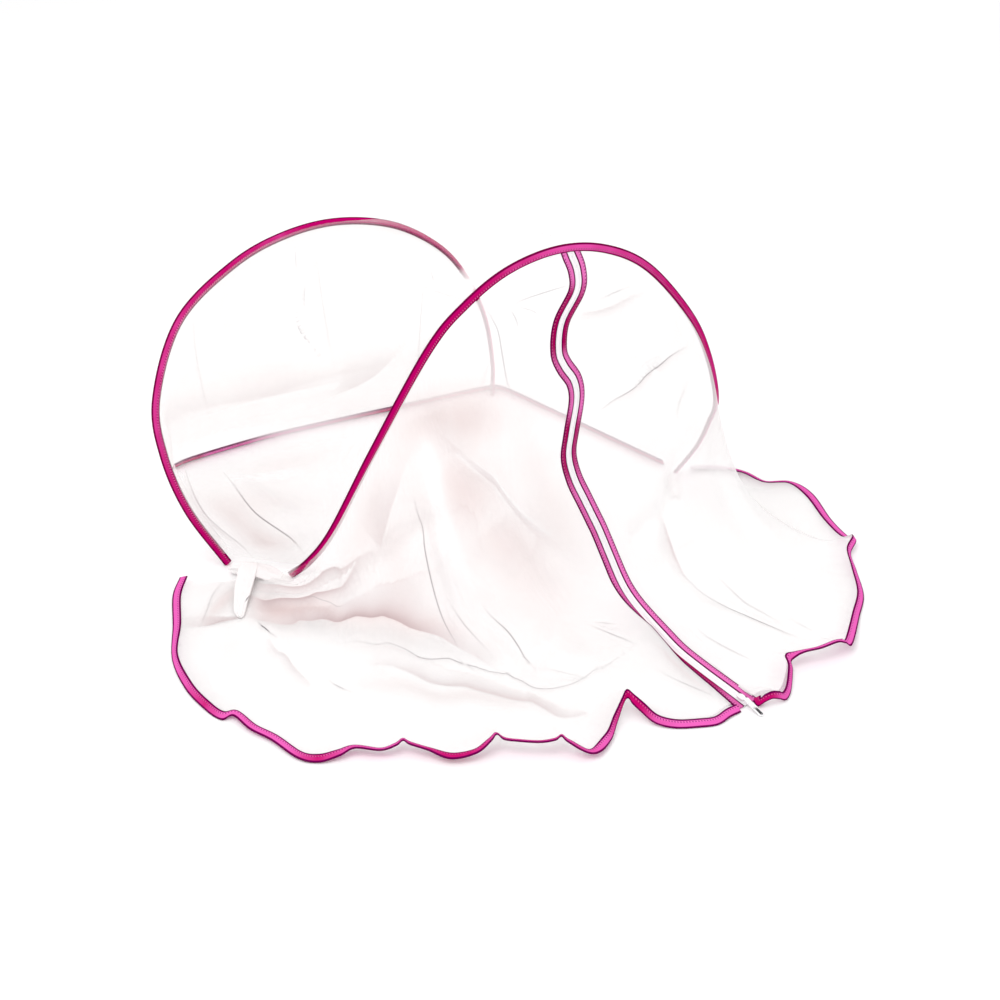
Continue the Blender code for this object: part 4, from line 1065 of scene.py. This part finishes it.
def clothLengths(grid):
    # The cloth's own coordinates in metres: along the columns and down the rows
    down = np.linalg.norm(np.diff(grid, axis=1), axis=2).mean(axis=0)
    across = np.linalg.norm(np.diff(grid, axis=0), axis=2).mean(axis=1)
    v = np.concatenate([[0], np.cumsum(down)])
    u = np.concatenate([[0], np.cumsum(across)])
    return np.stack(np.broadcast_arrays(u[:, None], v[None, :]), axis=2) / 1000


def wrinkles(grid, seed, size):
    # Small soft unevenness, the same at each run
    chance = np.random.default_rng(seed)
    lift = np.zeros(grid.shape[:2])
    for _ in range(14):
        wave = chance.uniform(26, 95)
        heading = unit(chance.normal(size=3))
        height = chance.uniform(0.3, 1.0)
        lift += height * np.sin(2 * np.pi * (grid @ heading) / wave + chance.uniform(0, 6.28))
    return lift * size / 3


def alongLines(cloth, rows, reaches):
    # Each point's signed distance from the nearest line, above zero left of its way, with that line's
    # strength and reach there
    steps = netLook["lineSteps"]
    outward = surfaceNormals(cloth, 1)
    outward = outward * np.sign(outward[:, :, 2].mean())
    away = np.full(cloth.shape[:2], 1e3)
    strength = np.zeros(cloth.shape[:2])
    reachAt = np.full(cloth.shape[:2], float(min(reaches)))
    for (depth, places), reach in zip(rows, reaches):
        if len(places) > 2:
            shares = spline([(u, v, 0.0) for u, v in places], steps)
        else:
            shares = np.linspace(*places, steps)
        spots = gridPoints(cloth, shares[:, 0], shares[:, 1])
        ways = unit(np.gradient(spots, axis=0))
        lefts = unit(np.cross(gridPoints(outward, shares[:, 0], shares[:, 1]), ways))
        closest, nearest = nearestSpot(cloth, spots)
        apart = cloth - spots[nearest]
        beyond = np.abs(np.sum(apart * ways[nearest], axis=2))
        signed = np.sum(apart * lefts[nearest], axis=2)
        taper = np.sin(np.pi * np.clip(0.06 + 0.88 * nearest / (steps - 1), 0, 1)) ** 0.6
        fade = np.clip(1.5 - closest / (4 * reach), 0, 1) * np.clip(1.5 - beyond / (1.2 * reach), 0, 1)
        better = closest < np.abs(away)
        away[better] = signed[better]
        strength[better] = (depth * taper * fade)[better]
        reachAt[better] = reach
    return away, strength, reachAt


def draped(grid, side, key):
    ramps = (edgeRamp(grid.shape[0], netLook["edgeColumns"])[:, None]
             * edgeRamp(grid.shape[1], netLook["edgeRows"])[None, :])
    lift = fieldAlong(grid, foldTable[key]) * ramps
    cloth = grid + surfaceNormals(grid, side) * lift[:, :, None]
    creases = [(row[0], row[1:]) for row in creaseTable[key]]
    shades = [(row[0], row[2:]) for row in shadeTable[key]]
    creaseAway, creaseMark, _ = alongLines(cloth, creases, [netLook["creaseFade"]] * len(creases))
    shadeAway, shadeMark, shadeReach = alongLines(cloth, shades, [row[1] for row in shadeTable[key]])
    rise = creaseMark * np.exp(-(creaseAway / netLook["creaseReach"]) ** 2) * netLook["creaseLift"]
    rise += shadeMark * np.exp(-np.abs(shadeAway + 4) / 9) * netLook["shadeLift"]
    upward = np.sign(surfaceNormals(cloth, side)[:, :, 2].mean())
    lift = (rise * upward + wrinkles(cloth, netLook["seeds"][key], netLook["wrinkle"])) * ramps
    lengths = clothLengths(grid) * 1000
    along = lengths[:, :1, 0]
    longWave, shortWave = netLook["puckerWaves"]
    for edge, reach in netLook["puckers"][key]:
        depth = lengths[:, :, 1] if edge == "top" else lengths[:, -1:, 1] - lengths[:, :, 1]
        waver = np.sin(2 * np.pi * along / longWave) + 0.6 * np.sin(2 * np.pi * along / shortWave + 1.3)
        lift += netLook["pucker"] * waver * np.exp(-depth / reach) * ramps ** 0.5
    cloth = cloth + surfaceNormals(cloth, side) * lift[:, :, None]
    cloth[:, :, 2] = np.maximum(cloth[:, :, 2], 0.5)
    marks = {
        "veil": np.clip(fieldAlong(cloth, veilTable[key], 4.0), -1, 1),
        "paintedPinkShade": np.clip(fieldAlong(cloth, paintedPinkShadeTable[key], 1.6), 0, 1),
        "creaseAway": creaseAway, "creaseMark": creaseMark,
        "shadeAway": shadeAway, "shadeMark": shadeMark, "shadeReach": shadeReach,
    }
    return cloth, marks


def frontPanel(hoop, key, hemLines, zipEdge, zipAtEnd):
    count = len(hemLines[0])
    share = np.linspace(0, 1, count)
    tops, broads, narrows = lineShare(hoop, mapped(netLook[key + "Spread"], share))
    sweeps = mapped(netLook[key + "Sweep"], share)
    seams = mapped(netLook[key + "Seam"], share)
    edge, across, _ = hemLines
    ends = edge + across * (hemLook["width"] + hemLook["netGap"])
    inward = unit(across * (1, 1, 0))
    for _ in range(netLook["leadPasses"]):
        inward[1:-1] = unit(inward[:-2] + inward[1:-1] + inward[2:])
    rows = rowShares()
    grid = np.array([
        fall(tops[i], (broads[i], narrows[i]), ends[i], inward[i], sweeps[i], seams[i], rows)
        for i in range(count)
    ])
    closeness = share if zipAtEnd else 1 - share
    weight = np.clip((closeness - 1 + zipLook["pull"]) / zipLook["pull"], 0, 1) ** 2
    return grid + weight[:, None, None] * (zipEdge - grid[-1 if zipAtEnd else 0])


def ruledPanel(first, second, count, bandsFirst, bandsSecond, sag, side):
    share = np.linspace(0, 1, 120)[:, None]
    columns = []
    for i, (a, b) in enumerate(zip(first, second)):
        line = a * (1 - share) + b * share
        line = line if bandsFirst[i] is None else besideHoop(line, bandsFirst[i])
        line = line if bandsSecond[i] is None else besideHoop(line[::-1], bandsSecond[i])[::-1]
        columns.append(pointsAt(line, np.linspace(0, 1, count)))
    grid = np.array(columns)
    u = np.linspace(0, 1, len(grid))[:, None]
    v = np.linspace(0, 1, count)
    dip = sag * np.sin(np.pi * u) ** 0.8 * np.sin(np.pi * v)
    return grid - surfaceNormals(grid, side) * dip[:, :, None]


def bandsOf(line, shares, openEnd):
    _, broads, narrows = lineShare(line, shares)
    return list(zip(broads, narrows)) + [None] * openEnd


def netPiece(name, grid, side, key, finish, node):
    cloth, marks = draped(grid, side, key)
    piece = clothPiece(name, cloth, clothLengths(grid), marks, side)
    return finished(piece, finish, node)


for key, sign in (("left", -1), ("right", 1)):
    lines = hemFrame(spline(hemStations[key], netLook[key + "Columns"]), 1, netLook[key + "Passes"])
    grid = frontPanel(hoops["front"], key, lines, netBeside(key.title(), sign), key == "left")
    name = "netFront" + key.title() + "Cloth"
    netPiece(name, grid, 1, key, "netFront", "net_front_" + key)

backLine = spline(hemStations["back"], netLook["backSteps"])
edge, across, _ = hemFrame(backLine, -1, netLook["backPasses"])
innerBack = edge + across * (hemLook["width"] + hemLook["netGap"])
corner = int(np.argmax(backLine[:, 1]))
sideRun = pointsAt(innerBack[corner:], np.linspace(netLook["cornerCut"], 1, netLook["topRows"]))
topShares = np.linspace(*netLook["topRange"], netLook["topColumns"] - 1)
firstLine = np.vstack([lineShare(hoops["back"], topShares)[0], sideRun[:1]])
secondLine = np.vstack([lineShare(hoops["front"], topShares)[0], sideRun[-1:]])
topGrid = ruledPanel(firstLine, secondLine, netLook["topRows"], bandsOf(hoops["back"], topShares, 1),
                     bandsOf(hoops["front"], topShares, 1), netLook["topSag"], 1)
lastSteps = [topGrid[-2] * (1 - t) + sideRun * t for t in (0.2, 0.4, 0.6, 0.8, 1.0)]
topGrid = np.concatenate([topGrid[:-1], lastSteps])
netTop = netPiece("netTopCloth", topGrid, 1, "top", "netTop", "net_top")

wallShares = np.linspace(*netLook["wallRange"], netLook["wallColumns"] - 1)
leftEnds = [(*spot, netLook["floorClear"]) for spot in (netLook["wallStart"], hemLook["back"][0])]
leftRun = np.linspace(*leftEnds, netLook["wallLeft"])[:-1]
backShares = np.linspace(0, 1 - netLook["cornerCut"], netLook["wallColumns"] - len(leftRun))
floorRun = np.vstack([leftRun, pointsAt(innerBack[:corner + 1], backShares)])
wallEnd = floorRun[-1:] + np.array(netLook["wallEnd"])
firstLine = np.vstack([lineShare(hoops["back"], wallShares)[0], wallEnd])
wallGrid = ruledPanel(firstLine, floorRun, netLook["wallRows"], bandsOf(hoops["back"], wallShares, 1),
                      [None] * netLook["wallColumns"], netLook["wallSag"], -1)
netBack = netPiece("netBackCloth", wallGrid, -1, "wall", "netBack", "net_back")
print("nets made")


gatherLook = {
    # x, y, height of the middle, half its height and half its width
    "left": (
        (-346, -159, 6, 4.6, 5.5), (-338, -159, 8.2, 6.8, 8), (-327, -160, 9, 7.6, 11),
        (-315, -163, 8.6, 7.4, 13), (-302, -167, 7.6, 6.6, 14), (-290, -172, 6.6, 5.6, 13),
        (-280, -178, 5.6, 4.4, 10), (-268, -184, 4.6, 2.8, 6),
    ),
    "right": (
        (214.7, 49.7, 5, 4.5, 4.5), (216, 34, 6.5, 6, 6), (219, 16, 6.5, 6, 6.5), (220, 2, 5, 4.5, 5.5),
    ),
    "turns": 3.0, "slant": 0.35, "pleats": 5, "pleatDepth": 0.20, "sides": 64, "steps": 120,
    # x, y, height, half width
    "flap": (
        (-320, -152, 11.5, 9.5), (-320, -160, 14.8, 11.2), (-321, -169, 14.6, 11.6),
        (-322, -180, 12.2, 11.2), (-324, -200, 9, 10.6), (-325, -222, 6, 8.4), (-325, -240, 4.2, 6.6),
        (-324, -249, 3.6, 4), (-324, -252, 3.4, 1.2),
    ),
    "flapThick": 1.6, "flapSteps": 70, "flapColumns": 25,
    "slit": ((1.2, ((0.655, 0.96), (0.70, 0.88))),), "slitReach": 3.0,
}


def rolledNet(name, stations, node):
    # A roll of bunched net: pleats run round it at a slant, deeper at its ends
    count, sides = gatherLook["steps"], gatherLook["sides"]
    rows = spline(stations, count)
    centre = rows[:, :3]
    way = unit(np.gradient(centre, axis=0))
    side = unit(np.cross(way, np.broadcast_to((0.0, 0.0, 1.0), way.shape)))
    angle = np.linspace(0, 2 * np.pi, sides, endpoint=False)
    share = np.linspace(0, 1, count)[:, None]
    slope = 2 * np.pi * gatherLook["turns"] * share * gatherLook["slant"]
    pleat = np.sin(gatherLook["pleats"] * angle + slope)
    pleat = pleat + 0.5 * np.sin(3 * angle - 9 * share + 1.0)
    depth = gatherLook["pleatDepth"] * (0.55 + 0.45 * np.abs(2 * share - 1))
    rim = 1 - depth * (0.6 + 0.6 * pleat)
    close = np.clip(np.minimum(share, 1 - share) / 0.06, 0.0, 1.0) ** 0.5 * 0.85 + 0.15
    section = np.stack([rows[:, 4:5] * np.cos(angle) * rim * close,
                        rows[:, 3:4] * np.sin(angle) * rim * close], axis=2)
    cloth = sweptPiece(name, centre, side, np.cross(side, way), section, {"veil": np.zeros(count)}, 80.0)
    return finished(cloth, "gather", node)


gatherLeft = rolledNet("gatherLeftRoll", gatherLook["left"], "gather_left")
gatherRight = rolledNet("gatherRightRoll", gatherLook["right"], "gather_right")
flap = spline(gatherLook["flap"], gatherLook["flapSteps"])
across = np.linspace(-1, 1, gatherLook["flapColumns"])
ripple = 0.9 * np.sin(across * 6.0)[None, :] * np.linspace(0.3, 1.0, gatherLook["flapSteps"])[:, None]
flapGrid = flap[:, None, :3] + across[:, None] * (1.0, 0.0, 0.0) * flap[:, None, 3:4]
flapGrid = flapGrid + surfaceNormals(flapGrid, 1) * ripple[:, :, None]
# The slit is a dark line of shade painted on the flap through its crease marks
slitAway, slitMark, _ = alongLines(flapGrid, gatherLook["slit"], [gatherLook["slitReach"]])
flapPiece = clothPiece("gatherFlapCloth", flapGrid, clothLengths(flapGrid),
                       {"creaseAway": slitAway, "creaseMark": slitMark}, 1)
thickened(flapPiece, gatherLook["flapThick"])
finished(flapPiece, "gather", "gather_flap")
print("gathers made")
